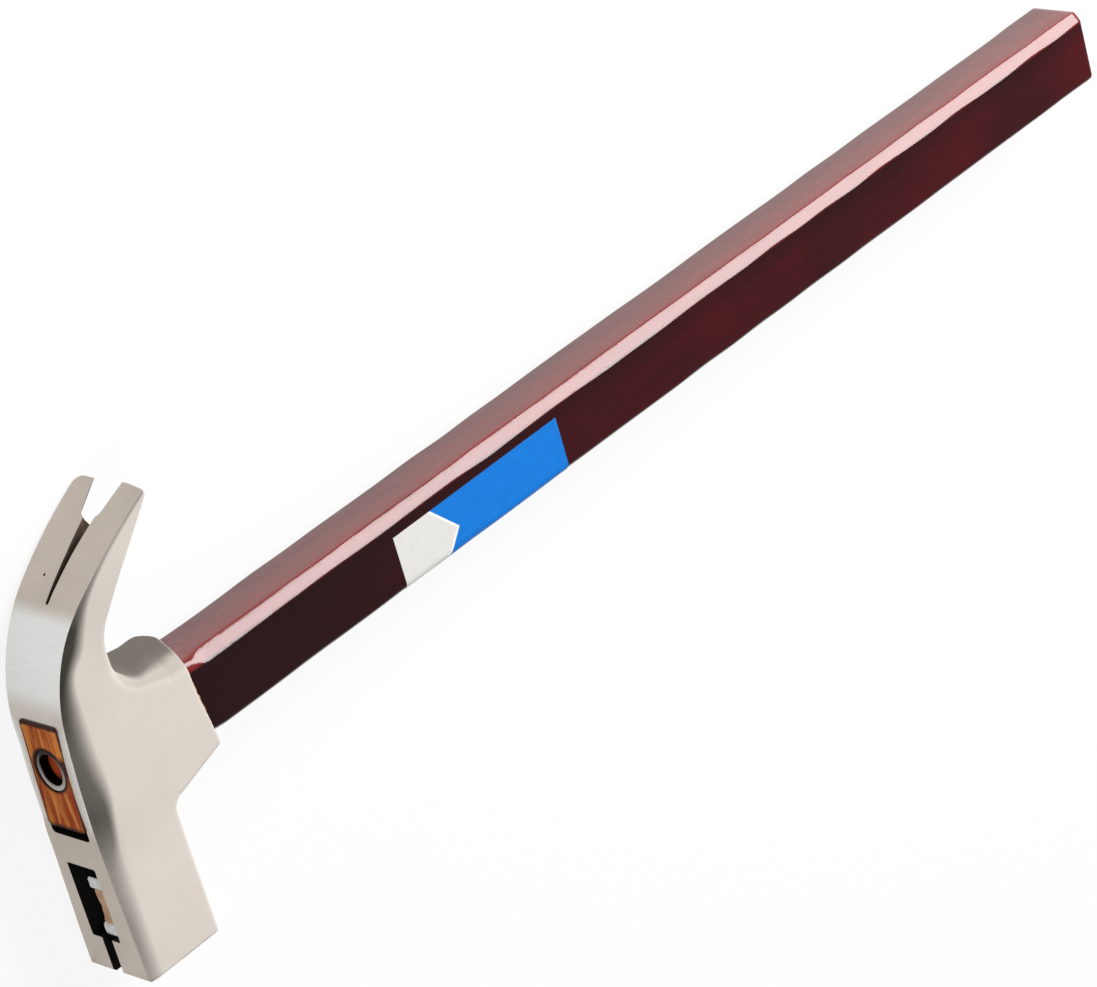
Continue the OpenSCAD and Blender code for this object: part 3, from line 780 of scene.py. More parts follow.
# %% The finished head
SHARP = math.radians(50) # edges steeper than this are shaded sharp
cut_from(forged_head, [belt, eye, pocket, groove, notch, slit, punch])
forged_head.data.shade_smooth()
forged_head.data.set_sharp_from_angle(angle=SHARP)
head_points = mesh_points(forged_head)
print("head:", len(forged_head.data.polygons), "faces, from", head_points.min(0).round(2), "to",
      head_points.max(0).round(2))

# %% [markdown]
# ### Where the steel is dark and where it is bright
# Shade is painted on the steel as colour: the shoulders beside the strip and the claw side of the
# socket are coloured darker. A highlight is painted on the strip's rims beside the eye, and the knee
# of the claws is buffed bright. Both are written on the mesh as attributes, so that they follow the
# shape, and the materials read them.

# %% Shade and polish, written on the vertices
def write_attribute(piece, name, values):
    """One number for each vertex, which the materials read by its name."""
    layer = piece.data.attributes.new(name, "FLOAT", "POINT")
    layer.data.foreach_set("value", np.asarray(values, np.float32))


# Each pair is a Y along the strip and a value there: how deep the painted shade on the shoulder
# reaches in mm, the share of it that is darkest, and how dark that is.
SHADE_WIDTH = smooth_curve([(-57.5, 4.5), (-28, 4.8), (-21, 5), (-14, 6), (-5, 7.4), (8, 6.5), (20, 5.6),
                            (29, 4.2), (36, 5.8), (40, 4.6), (45, 2.2), (60.4, 0.8)])
SHADE_CORE = smooth_curve([(-57.5, 0), (-26, 0.1), (-18, 0.6), (-8, 0.6), (4, 0.3), (14, 0.1), (24, 0.1),
                           (36, 0.25), (45, 0.2), (60.4, 0)])
SHADE_DEPTH = smooth_curve([(-57.5, 0.42), (-44, 0.54), (-22, 0.57), (-16, 0.73), (-10, 0.86), (-4, 0.82),
                            (8, 0.8), (14, 0.83), (20, 0.88), (26, 0.94), (38, 0.965), (44, 0.75),
                            (50, 0.55), (60.4, 0.6)])
SHADE_FALL = 1.6         # above 1, the shade stays dark longer before it fades
DRIFT_POLL, DRIFT_CLAWS = 0.03, 0.04    # a little more shade from the poll to the eye, and to the claws
TURN_SHADE = (0.26, 0.5) # shade where the steel turns to the claw side, and where it faces it
TURN_Y = (0.1, 0.45, 0.6, 0.88)         # Y of the surface's direction at which the two begin and end
SOCKET_BACK = 6          # mm, the claw side's shade grows from this far above the claws' root
SOCKET_BACK_Y = (20, 27) # and fades out between these Y, up the throat


def head_shade():
    """How much painted shade darkens the cheeks' steel: along the shoulders and on the socket's claw
    side.
    """
    x, y, _ = head_points.T
    normal = np.zeros(3 * len(head_points))
    forged_head.data.vertices.foreach_get("normal", normal)
    normal_y = normal.reshape(-1, 3)[:, 1]
    depth, station = nearest(head_points[:, :2], strip_line)
    fall = np.clip((1 - depth / SHADE_WIDTH(station)) / (1 - SHADE_CORE(station)), 0, 1)
    band = SHADE_DEPTH(station) * (1 - (1 - fall) ** SHADE_FALL)
    drift = DRIFT_POLL * smooth_step(y, -30, -12) + DRIFT_CLAWS * smooth_step(y, 8, 20)
    turning = (TURN_SHADE[0] * smooth_step(normal_y, *TURN_Y[:2])
               + TURN_SHADE[1] * smooth_step(normal_y, *TURN_Y[2:]))
    claw_side = smooth_step(x, ROOT_X - SOCKET_BACK, ROOT_X) * (1 - smooth_step(y, *SOCKET_BACK_Y))
    return np.clip(np.maximum(band, turning * claw_side) + drift, 0, 1)


KNEE_Y = (16, 25, 38.5, 42.5)           # the buffed knee begins and ends between these Y
RIM_Y = (-15, -10, 12, 20)              # and so does the painted highlight on the rims beside the eye
# Across Z, the rims' painted highlight begins between these.
RIM_Z = (7.5, 9)
# Strength of the painted highlight on the near rim and on the far rim.
RIM_HIGHLIGHT, FAR_RIM_HIGHLIGHT = 0.7, 1.0


def strip_buff_and_highlight():
    """How bright the ground strip is: buffed at the knee, a painted highlight on the rims beside the eye.
    """
    _, y, z = head_points.T
    knee = smooth_step(y, *KNEE_Y[:2]) * (1 - smooth_step(y, *KNEE_Y[2:]))
    rim = smooth_step(np.abs(z), *RIM_Z) * smooth_step(y, *RIM_Y[:2]) * (1 - smooth_step(y, *RIM_Y[2:]))
    return np.clip(knee + np.where(z < 0, FAR_RIM_HIGHLIGHT, RIM_HIGHLIGHT) * rim, 0, 1)


write_attribute(forged_head, "shade", head_shade())
write_attribute(forged_head, "buff_and_highlight", strip_buff_and_highlight())

# %% [markdown]
# ## The wooden handle
# The handle is a straight bar of hardwood, dipped in dark red lacquer. Three of its long edges are
# rounded, and the one between the upper cheek and the claw side was sanded to a narrow flat, which
# mirrors the lamp as a long bright line. The wood's end goes through the head and is left bare:
# there the end grain shows. The bar is lofted through rings along its length, and its edges wander
# a little from ring to ring, because it was sanded by hand. That breaks the long reflection.

# %% Lacquered wood and bare wood
RING_R = 6               # outside radius of the ring wedge in the wood's end
RING_OFF = 3             # from the handle's centre line towards the claws
ring_x = (RING_OFF - wood_face_y) * end_slope - WOOD_PROUD
BARE_EDGE = 0.7          # mm of bare wood between the socket and the lacquer
RAGGED_EDGE = 1.2        # mm, how far the lacquer's edge wanders there
EDGE_LENGTH = 2.2        # mm, length of that wandering
LACQUER_WAVE = 5         # mm, unevenness of the dried lacquer, which wrinkles a reflection's edge
CORNER_LEG = 3.6         # mm, how far the sanded flat reaches over the claw side
FLAT_DARK = 6            # mm beside the flat on which the cheek grows darker
WRINKLE = 1.3            # mm, size of the wrinkles where the lacquer ran together behind the head
WRINKLED = (2, 24)       # mm behind the socket, where the wrinkles are strongest and where they end
WOOD_GRAIN = 1.6         # mm, spacing of the grain under the lacquer
LACQUER_CLOUD = 55       # mm, size of the darker patches of the lacquer
REDDER = (57.9, 307.9)   # mm from the head's top: between these the cheek turns from black to red
SOCKET_SLOPE = SOCKET_SLANT / (SOCKET_CLAW_Y - SOCKET_FACE_Y)


def lacquered_wood():
    """Red lacquer over wood: nearly black cheeks, painted sheen on the claw side, ragged edge at the
    head.
    """
    finish, tree, shader, place = new_finish("lacquered_hardwood", IOR=1.5, Coat_Weight=0.35,
                                             Coat_Roughness=0.08, Roughness=0.24)
    along = add(tree, "ShaderNodeMapping", {"Vector": place, "Scale": (0.05, 1.0, 1.0)})
    grain = add(tree, "ShaderNodeTexNoise", {"Vector": along.outputs[0], "Scale": MM / WOOD_GRAIN,
                                             "Detail": 5.0})
    cloud = add(tree, "ShaderNodeTexNoise", {"Vector": place, "Scale": MM / LACQUER_CLOUD, "Detail": 3.0})
    axes = add(tree, "ShaderNodeSeparateXYZ", {"Vector": place}).outputs
    red_from, red_to = (in_row([x, 0, 0])[0] for x in REDDER)
    length = add(tree, "ShaderNodeMapRange", {"Value": axes["X"], "From Min": red_from,
                                              "From Max": red_to})
    cheek = add(tree, "ShaderNodeMix", {FACTOR: length.outputs[0], COLOUR_A: linear("#1c0508"),
                                        COLOUR_B: linear("#500814")}, data_type="RGBA")
    patch = add(tree, "ShaderNodeMapRange", {"Value": cloud.outputs["Fac"], "From Min": 0.4,
                                             "From Max": 0.65, "To Min": 0.0, "To Max": 0.7})
    clouded = add(tree, "ShaderNodeMix", {FACTOR: patch.outputs[0], COLOUR_A: cheek.outputs[COLOUR_OUT],
                                          COLOUR_B: linear("#29080c")}, data_type="RGBA")
    corner_y = in_row([0, HANDLE_W / 2 - CORNER_LEG, 0])[1]
    beside = add(tree, "ShaderNodeMapRange", {"Value": axes["Y"], "From Min": corner_y - FLAT_DARK / 1000,
                                              "From Max": corner_y, "To Min": 0.0, "To Max": 0.6})
    deep = add(tree, "ShaderNodeMix", {FACTOR: beside.outputs[0], COLOUR_A: clouded.outputs[COLOUR_OUT],
                                       COLOUR_B: linear("#1f0708")}, data_type="RGBA")
    # Painted sheen: the claw side and the sanded flat are coloured lighter and redder than the cheeks,
    # rising towards the flat.
    low, high = (in_row([0, 0, z])[2] for z in (-HANDLE_T / 2, HANDLE_T / 2 - 2))
    wear_and_sheen = add(tree, "ShaderNodeMapRange", {"Value": axes["Z"], "From Min": low, "From Max": high})
    claw_side = add(tree, "ShaderNodeMix", {FACTOR: wear_and_sheen.outputs[0], COLOUR_A: linear("#4c1f1c"),
                                            COLOUR_B: linear("#7c2624")}, data_type="RGBA")
    sheen_side = add(tree, "ShaderNodeMapRange", {"Value": axes["Y"], "From Min": corner_y,
                                            "From Max": corner_y + 0.0008})
    body = add(tree, "ShaderNodeMix", {FACTOR: sheen_side.outputs[0], COLOUR_A: deep.outputs[COLOUR_OUT],
                                       COLOUR_B: claw_side.outputs[COLOUR_OUT]}, data_type="RGBA")
    dark = add(tree, "ShaderNodeMapRange", {"Value": grain.outputs["Fac"], "From Min": 0.45,
                                            "From Max": 0.75, "To Min": 0.0, "To Max": 0.3})
    figure = add(tree, "ShaderNodeMix", {FACTOR: dark.outputs[0], COLOUR_A: body.outputs[COLOUR_OUT],
                                         COLOUR_B: linear("#160405")}, data_type="RGBA")
    edge_noise = add(tree, "ShaderNodeTexNoise", {"Vector": place, "Scale": MM / EDGE_LENGTH,
                                                  "Detail": 2.0})
    reach = add(tree, "ShaderNodeVectorMath", {0: place, 1: (1.0, SOCKET_SLOPE, 0.0)},
                operation="DOT_PRODUCT")
    wander = add(tree, "ShaderNodeMath", {0: edge_noise.outputs["Fac"], 1: RAGGED_EDGE / 1000,
                                          2: reach.outputs["Value"]}, operation="MULTIPLY_ADD")
    lacquer_from = in_row([HEAD_DEPTH + BARE_EDGE, SOCKET_FACE_Y, 0])
    line = lacquer_from[0] + lacquer_from[1] * SOCKET_SLOPE + RAGGED_EDGE / 2000
    covered = add(tree, "ShaderNodeMapRange", {"Value": wander.outputs[0], "From Min": line - 0.0001,
                                               "From Max": line + 0.0001})
    skin = add(tree, "ShaderNodeMix", {FACTOR: covered.outputs[0], COLOUR_A: linear("#d6ae86"),
                                       COLOUR_B: figure.outputs[COLOUR_OUT]}, data_type="RGBA")
    flow = add(tree, "ShaderNodeMapping", {"Vector": place, "Scale": (0.4, 1.0, 1.0)})
    sag = add(tree, "ShaderNodeTexNoise", {"Vector": flow.outputs[0], "Scale": MM / LACQUER_WAVE,
                                           "Detail": 2.0})
    wrinkle = add(tree, "ShaderNodeTexNoise", {"Vector": place, "Scale": MM / WRINKLE, "Detail": 2.0})
    run_from, run_to = (in_row([HEAD_DEPTH + x, 0, 0])[0] for x in WRINKLED)
    run = add(tree, "ShaderNodeMapRange", {"Value": axes["X"], "From Min": run_from, "From Max": run_to,
                                           "To Min": 0.6, "To Max": 0.0})
    height = add(tree, "ShaderNodeMath", {0: wrinkle.outputs["Fac"], 1: run.outputs[0],
                                          2: sag.outputs["Fac"]}, operation="MULTIPLY_ADD")
    bump = add(tree, "ShaderNodeBump", {"Height": height.outputs[0], "Strength": 0.5,
                                        "Distance": 0.00025})
    tree.links.new(skin.outputs[COLOUR_OUT], shader.inputs["Base Color"])
    tree.links.new(bump.outputs[0], shader.inputs["Normal"])
    tree.links.new(bump.outputs[0], shader.inputs["Coat Normal"])
    return finish


# %% The bare end of the wood
GROWTH_RING = 1.9        # mm, spacing of the growth rings, which lie along Y
RIM_DARKENED = (0.96, 1.03)               # the rim is darker from the first of these shares outwards
RING_GAP = 0.7           # mm, breadth of the dark line round the ring
BRUISE_AT = (1.9, 0.3)   # mm, from the ring's upper side towards the claws, and away from the ring
BRUISE = (2.1, 3.7)      # mm, radius of its dark middle and of its edge
CLAW_END_DARK = 1.1      # mm of the wood's end that is darker, at the claws
RAGGED_RIM = 1.3         # mm, size of the raggedness of the dark places


def end_grain_wood():
    """Bare wood: streaks along Y, darker at the rim, round the ring wedge, in a bruise and at the claws.
    """
    finish, tree, shader, place = new_finish("bare_end_grain", IOR=1.45, Roughness=0.65,
                                             Specular_IOR_Level=0.2)
    across = add(tree, "ShaderNodeMapping", {"Vector": place, "Scale": (1.0, 0.1, 1.0)})
    rings = add(tree, "ShaderNodeTexNoise", {"Vector": across.outputs[0], "Scale": MM / GROWTH_RING,
                                             "Detail": 3.0, "Distortion": 0.4})
    early = add(tree, "ShaderNodeMapRange", {"Value": rings.outputs["Fac"], "From Min": 0.38,
                                             "From Max": 0.62})
    tone = add(tree, "ShaderNodeMix", {FACTOR: early.outputs[0], COLOUR_A: linear("#9e3c12"),
                                       COLOUR_B: linear("#dc883c")}, data_type="RGBA")
    wood_middle = in_row([0, (wood_face_y + wood_claw_y) / 2, 0])
    share = add(tree, "ShaderNodeMapping", {
        "Vector": place, "Location": (-wood_middle[0], -wood_middle[1] * 2000 / WOOD_W,
                                      -wood_middle[2] * 2000 / WOOD_T),
        "Scale": (1.0, 2000 / WOOD_W, 2000 / WOOD_T)})
    share = add(tree, "ShaderNodeVectorMath", {0: share.outputs[0]}, operation="ABSOLUTE")
    share = add(tree, "ShaderNodeSeparateXYZ", {"Vector": share.outputs[0]}).outputs
    outer = add(tree, "ShaderNodeMath", {0: share["Y"], 1: share["Z"]}, operation="MAXIMUM")
    ragged = add(tree, "ShaderNodeTexNoise", {"Vector": place, "Scale": MM / RAGGED_RIM, "Detail": 2.0})
    outer = add(tree, "ShaderNodeMath", {0: ragged.outputs["Fac"], 1: 0.1, 2: outer.outputs[0]},
                operation="MULTIPLY_ADD")
    rim = add(tree, "ShaderNodeMapRange", {"Value": outer.outputs[0], "From Min": RIM_DARKENED[0],
                                           "From Max": RIM_DARKENED[1]})
    ring_middle = in_row([ring_x, RING_OFF, 0])
    around = add(tree, "ShaderNodeVectorMath", {0: place, 1: tuple(ring_middle)}, operation="DISTANCE")
    gap = add(tree, "ShaderNodeMapRange", {"Value": around.outputs["Value"], "From Min": RING_R / 1000,
                                           "From Max": (RING_R + RING_GAP) / 1000,
                                           "To Min": 1.0, "To Max": 0.0})
    bruise_at = in_row([-WOOD_PROUD, RING_OFF + BRUISE_AT[0], RING_R + BRUISE_AT[1]])
    bruise = add(tree, "ShaderNodeVectorMath", {0: place, 1: tuple(bruise_at)}, operation="DISTANCE")
    bruise = add(tree, "ShaderNodeMapRange", {"Value": bruise.outputs["Value"],
                                              "From Min": BRUISE[0] / 1000, "From Max": BRUISE[1] / 1000,
                                              "To Min": 1.0, "To Max": 0.0})
    claw_end = add(tree, "ShaderNodeSeparateXYZ", {"Vector": place}).outputs["Y"]
    run_line = in_row([0, wood_claw_y - CLAW_END_DARK, 0])[1]
    claw_end = add(tree, "ShaderNodeMath", {0: ragged.outputs["Fac"], 1: 0.0008, 2: claw_end},
                   operation="MULTIPLY_ADD")
    claw_end = add(tree, "ShaderNodeMapRange", {"Value": claw_end.outputs[0], "From Min": run_line,
                                                "From Max": run_line + 0.0005})
    darkened = rim
    for dark in (gap, bruise, claw_end):
        darkened = add(tree, "ShaderNodeMath", {0: darkened.outputs[0], 1: dark.outputs[0]},
                     operation="MAXIMUM")
    darkened_tone = add(tree, "ShaderNodeMix", {FACTOR: darkened.outputs[0], COLOUR_A: tone.outputs[COLOUR_OUT],
                                          COLOUR_B: linear("#3a150c")}, data_type="RGBA")
    bump = add(tree, "ShaderNodeBump", {"Height": rings.outputs["Fac"], "Strength": 0.5,
                                        "Distance": 0.0002})
    tree.links.new(darkened_tone.outputs[COLOUR_OUT], shader.inputs["Base Color"])
    tree.links.new(bump.outputs[0], shader.inputs["Normal"])
    return finish


DARK_WOOD_PATCH = 1.5       # mm, size of the lighter and darker places of this darker wood


def darker_wood(name, dark, light):
    """Darker wood: the sides of the wood's end, and a painted shade on the floor of the hollow in the
    ring.
    """
    finish, tree, shader, place = new_finish(name, IOR=1.5, Roughness=0.4)
    patch = add(tree, "ShaderNodeTexNoise", {"Vector": place, "Scale": MM / DARK_WOOD_PATCH, "Detail": 3.0})
    tone = add(tree, "ShaderNodeMix", {FACTOR: patch.outputs["Fac"], COLOUR_A: linear(dark),
                                       COLOUR_B: linear(light)}, data_type="RGBA")
    tree.links.new(tone.outputs[COLOUR_OUT], shader.inputs["Base Color"])
    return finish


LACQUER = lacquered_wood()
END_GRAIN = end_grain_wood()
DARK_WOOD_SIDE = darker_wood("dark_wood_side", "#2a0d07", "#5c2410")
# Painted shade: the hollow's floor is a darker, redder copy of the end grain.
SHADED_HOLLOW_FLOOR = darker_wood("hollow_floor_painted_shade", "#9a3414", "#d4561f")

# %% Rings along the handle
HANDLE_LEN = in_drawing(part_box("handle")[1])[0]
BUTT_CHAMFER = 0.8       # mm, the butt's edges are eased by this
RING_STEP = 1.5          # mm between the handle's rings
WANDER_STEP = 12         # mm, length over which the sanding changes
sanding = np.random.default_rng(5)
WANDER_KNOTS = np.arange(TANG_END, HANDLE_LEN + WANDER_STEP, WANDER_STEP)
WANDER = [smooth_curve(np.column_stack([WANDER_KNOTS, sanding.uniform(-1, 1, len(WANDER_KNOTS))]))
          for _ in range(4)]
EDGE_WANDER = 0.1        # share, how much the breadth of each long edge changes
EDGE_GROWTH = -0.15      # share, how the breadth of the edges changes from the head to the butt
EDGE_ENDS = (0.9, 2.2, 1, 1)            # mm, end radii of the four long edges, the bright one first
EDGE_CROWNS = (11.4, 2.2, 9, 9)         # mm, radii of the flats that the sander left along them
FACET_FADE = 4           # mm, the flats begin softly behind the head


def shaft_section(x, inset=0.0):
    """The handle's section at a place along it, with each long edge eased as it was sanded there."""
    fade = smooth_step(x, TANG_END, TANG_END + FACET_FADE)
    growth = EDGE_GROWTH * (x - HANDLE_LEN / 2) / HANDLE_LEN
    corners = []
    for wave, end, crown in zip(WANDER, EDGE_ENDS, EDGE_CROWNS):
        size = (1 + fade * (growth + EDGE_WANDER * wave(np.array([x]))[0])) * (1 - inset / 2 / HANDLE_R)
        corners.append([size * (HANDLE_R + (radius - HANDLE_R) * fade) for radius in (end, crown)])
    return eased_ring(inset - HANDLE_W / 2, HANDLE_W / 2 - inset, HANDLE_T / 2 - inset, corners)


def shaft_ring(x, inset=0.0):
    section = shaft_section(x, inset)
    return np.column_stack([np.full(len(section), x), section])


def shrunk(ring, share):
    """A ring drawn in towards its middle, for a dense cap."""
    middle = (ring.min(0) + ring.max(0)) / 2
    return middle + (ring - middle) * share


# %% The handle, lofted through its rings
DARK_SIDE_RINGS = 3         # the wood's sides are darker this many rings deep

end_caps = [shrunk(tang_ring(0), share) for share in np.linspace(0.04, 1, 16)]
tang = [tang_ring(t) for t in np.linspace(0, 1, 24)[1:]]
shaft = [shaft_ring(x) for x in np.arange(TANG_END + RING_STEP, HANDLE_LEN - BUTT_CHAMFER, RING_STEP)]
butt = [shaft_ring(HANDLE_LEN - (1 - back) * BUTT_CHAMFER, inset * BUTT_CHAMFER)
        for back, inset in ((0, 0), (0.6, 0.3), (1, 1))]
butt_caps = [shrunk(butt[-1], share) for share in (0.9, 0.7, 0.4, 0.1)]
points, faces = loft(end_caps + tang + shaft + butt + butt_caps)
end_points = (len(end_caps) - 1) * len(end_caps[0])
side_points = end_points + DARK_SIDE_RINGS * len(end_caps[0])
coated, bare, darkened = range(3)         # the handle's materials
kinds = [bare if face[0] < end_points else darkened if face[0] < side_points else coated for face in faces]
kinds[-2:] = [bare, coated]             # the two caps
lacquered_handle = outward(new_piece("lacquered_handle", points, faces,
                                     [LACQUER, END_GRAIN, DARK_WOOD_SIDE], kinds))
print("handle:", len(points), "points, length", round(HANDLE_LEN, 1), "mm")

# %% [markdown]
# ## The ring wedge
# A short steel tube is driven into the wood's end to spread it in the eye. It is one profile carried
# round a circle, so it is a Geometry Nodes tree: a circle, a four-sided profile with its corners
# rounded, and Curve to Mesh. Its sizes are named inputs. The same tree, with square corners and a
# small allowance, also gives the cutter for its seat in the wood.

# %% Steel of the ring wedge
TARNISH = 1.8            # mm, size of the patches on the turned steel
DARK_BORE = (0.3, 1)     # mm below the head's top: between these the bore turns dark, a painted shade


def turned_steel():
    finish, tree, shader, place = new_finish("turned_mild_steel", Metallic=1.0)
    patch = add(tree, "ShaderNodeTexNoise", {"Vector": place, "Scale": MM / TARNISH, "Detail": 4.0})
    tone = add(tree, "ShaderNodeMix", {FACTOR: patch.outputs["Fac"], COLOUR_A: linear("#a09a90"),
                                       COLOUR_B: linear("#dedad2")}, data_type="RGBA")
    # Painted shade: below the top, the bore is coloured near black.
    depth = add(tree, "ShaderNodeSeparateXYZ", {"Vector": place}).outputs["X"]
    dark_from, dark_to = (in_row([x, 0, 0])[0] for x in DARK_BORE)
    inside = add(tree, "ShaderNodeMapRange", {"Value": depth, "From Min": dark_from, "From Max": dark_to})
    painted_bore_shade = add(tree, "ShaderNodeMix", {FACTOR: inside.outputs[0], COLOUR_A: tone.outputs[COLOUR_OUT],
                                         COLOUR_B: linear("#17110d")}, data_type="RGBA")
    gloss = add(tree, "ShaderNodeMapRange", {"Value": patch.outputs["Fac"], "To Min": 0.5,
                                             "To Max": 0.3})
    tree.links.new(painted_bore_shade.outputs[COLOUR_OUT], shader.inputs["Base Color"])
    tree.links.new(gloss.outputs[0], shader.inputs["Roughness"])
    return finish


WEDGE_STEEL = turned_steel()

# %% A tree that carries a wedge profile round a circle
RING_STEPS = 72


def ring_tree():
    """Geometry Nodes: a tube with a straight bore, an outside that tapers, and a rounded lip."""
    tree = bpy.data.node_groups.new("ring_wedge_tree", "GeometryNodeTree")
    tree.is_modifier = True
    face = tree.interface
    face.new_socket("Geometry", in_out="OUTPUT", socket_type="NodeSocketGeometry")
    for name in ("Bore", "Wall", "Tip Wall", "Length", "Lip"):
        face.new_socket(name, in_out="INPUT", socket_type="NodeSocketFloat")
    face.new_socket("Steel", in_out="INPUT", socket_type="NodeSocketMaterial")
    sizes = add(tree, "NodeGroupInput").outputs
    circle = add(tree, "GeometryNodeCurvePrimitiveCircle", {"Resolution": RING_STEPS,
                                                             "Radius": sizes["Bore"]})
    lip_in = add(tree, "ShaderNodeCombineXYZ", {"X": 0.0, "Y": 0.0})
    lip_out = add(tree, "ShaderNodeCombineXYZ", {"X": sizes["Wall"], "Y": 0.0})
    tip_out = add(tree, "ShaderNodeCombineXYZ", {"X": sizes["Tip Wall"], "Y": sizes["Length"]})
    tip_in = add(tree, "ShaderNodeCombineXYZ", {"X": 0.0, "Y": sizes["Length"]})
    profile = add(tree, "GeometryNodeCurvePrimitiveQuadrilateral",
                  {"Point 1": lip_in.outputs[0], "Point 2": lip_out.outputs[0],
                   "Point 3": tip_out.outputs[0], "Point 4": tip_in.outputs[0]}, mode="POINTS")
    lip = add(tree, "GeometryNodeFilletCurve", {"Curve": profile.outputs[0], "Radius": sizes["Lip"],
                                                "Limit Radius": True, "Count": 4}, mode="POLY")
    skin = add(tree, "GeometryNodeCurveToMesh", {"Curve": circle.outputs[0],
                                                 "Profile Curve": lip.outputs[0]})
    whole = add(tree, "GeometryNodeRealizeInstances", {"Geometry": skin.outputs[0]})
    steel = add(tree, "GeometryNodeSetMaterial", {"Geometry": whole.outputs[0],
                                                  "Material": sizes["Steel"]})
    out = add(tree, "NodeGroupOutput")
    tree.links.new(steel.outputs[0], out.inputs[0])
    return tree


def grown(name, tree, sizes):
    """A plain mesh object from a Geometry Nodes tree and its named inputs."""
    seed = bpy.data.objects.new(name, bpy.data.meshes.new(name))
    bpy.context.scene.collection.objects.link(seed)
    modifier = seed.modifiers.new("grow", "NODES")
    modifier.node_group = tree
    sockets = {item.name: item.identifier for item in tree.interface.items_tree
               if item.in_out == "INPUT"}
    for key, value in sizes.items():
        modifier[sockets[key]] = value
    finished = seed.evaluated_get(bpy.context.evaluated_depsgraph_get())
    mesh = bpy.data.meshes.new_from_object(finished)
    seed.modifiers.clear()
    seed.data = mesh
    return seed


RING_TREE = ring_tree()

# %% The ring wedge in the wood's end
RING_WALL, RING_LEN, RING_TIP_WALL = 1.7, 14, 0.4   # the wall tapers towards the tip
RING_LIP = 0.5           # rounding of the wall's corners
RING_HOLLOW = 3          # depth of the wood's face inside the ring
ring_bore = RING_R - RING_WALL
RING_SQUEEZE = 0.9       # the cheeks of the eye have squeezed the ring a little oval
RING_SUNK = 0.15         # the ring's lip lies a little below the wood
RING_SEAT = 0.02         # room round the ring in the wood
ring_place = Matrix.Translation(in_row([ring_x, RING_OFF, 0]))


def set_in_wood(piece, depth=0.0):
    """Stands a piece made round the vertical axis in the wood's end, pointing down the handle."""
    slope = Matrix.Rotation(-math.atan(end_slope), 4, "Z")
    down_handle = Matrix.Rotation(math.radians(-90), 4, "Y")
    sink = Matrix.Translation((0, 0, -depth / 1000))
    squeeze = Matrix.Diagonal((1, 1, RING_SQUEEZE, 1))
    piece.data.transform(ring_place @ squeeze @ slope @ down_handle @ sink)
    return outward(piece)


ring_wedge = set_in_wood(grown("tubular_wedge", RING_TREE, {
    "Bore": ring_bore / 1000, "Wall": RING_WALL / 1000, "Tip Wall": RING_TIP_WALL / 1000,
    "Length": RING_LEN / 1000, "Lip": RING_LIP / 1000, "Steel": WEDGE_STEEL}), RING_SUNK)
ring_points = mesh_points(ring_wedge)
print("ring wedge from", ring_points.min(0).round(2), "to", ring_points.max(0).round(2))

# %% The ring's seat and the hollow inside it
CUT_ABOVE = 2            # mm, the hollow's cutter starts this far above the wood, the seat's half as far
ring_seat = set_in_wood(grown("ring_seat", RING_TREE, {
    "Bore": (ring_bore - RING_SEAT) / 1000, "Wall": (RING_WALL + 2 * RING_SEAT) / 1000,
    "Tip Wall": (RING_TIP_WALL + 2 * RING_SEAT) / 1000, "Length": (RING_LEN + CUT_ABOVE) / 1000,
    "Lip": 0.0, "Steel": END_GRAIN}), -CUT_ABOVE / 2)
bore_circle = arc([0, 0], ring_bore, 0, 360, RING_STEPS)[:-1]
hollow_points, hollow_faces = loft([
    np.column_stack([bore_circle, np.full(RING_STEPS, z)]) / 1000 for z in (CUT_ABOVE, -RING_HOLLOW)])
hollow = new_piece("hollow", in_drawing(hollow_points), hollow_faces, [SHADED_HOLLOW_FLOOR])
cut_from(lacquered_handle, [ring_seat, set_in_wood(hollow)])
for piece in (lacquered_handle, ring_wedge):
    piece.data.shade_smooth()
    piece.data.set_sharp_from_angle(angle=SHARP)
print("handle faces after the seat:", len(lacquered_handle.data.polygons))

# %% [markdown]
# ## Magnets and resin in the nail pocket
# Two small nickel-plated magnets hold a nail while it is started. They are set in a drop of resin
# against one wall of the pocket. Magnets have tumbled, rounded corners and resin has none that are
# straight, so each is a fine box whose points are drawn onto a rounded body and then moved a little
# by smooth waves, with a fixed seed for each piece.

# %% Nickel and resin
NICKEL_PATCH = 0.9       # mm, size of the brighter and duller places on the plating
RESIN_SWIRL = 2.4        # mm, size of the streaks in the resin


def plated_nickel():
    finish, tree, shader, place = new_finish("nickel_plate", Metallic=1.0)
    patch = add(tree, "ShaderNodeTexNoise", {"Vector": place, "Scale": MM / NICKEL_PATCH, "Detail": 3.0})
    tone = add(tree, "ShaderNodeMix", {FACTOR: patch.outputs["Fac"], COLOUR_A: linear("#949290"),
                                       COLOUR_B: linear("#e0e0de")}, data_type="RGBA")
    gloss = add(tree, "ShaderNodeMapRange", {"Value": patch.outputs["Fac"], "To Min": 0.34,
                                             "To Max": 0.18})
    tree.links.new(tone.outputs[COLOUR_OUT], shader.inputs["Base Color"])
    tree.links.new(gloss.outputs[0], shader.inputs["Roughness"])
    return finish


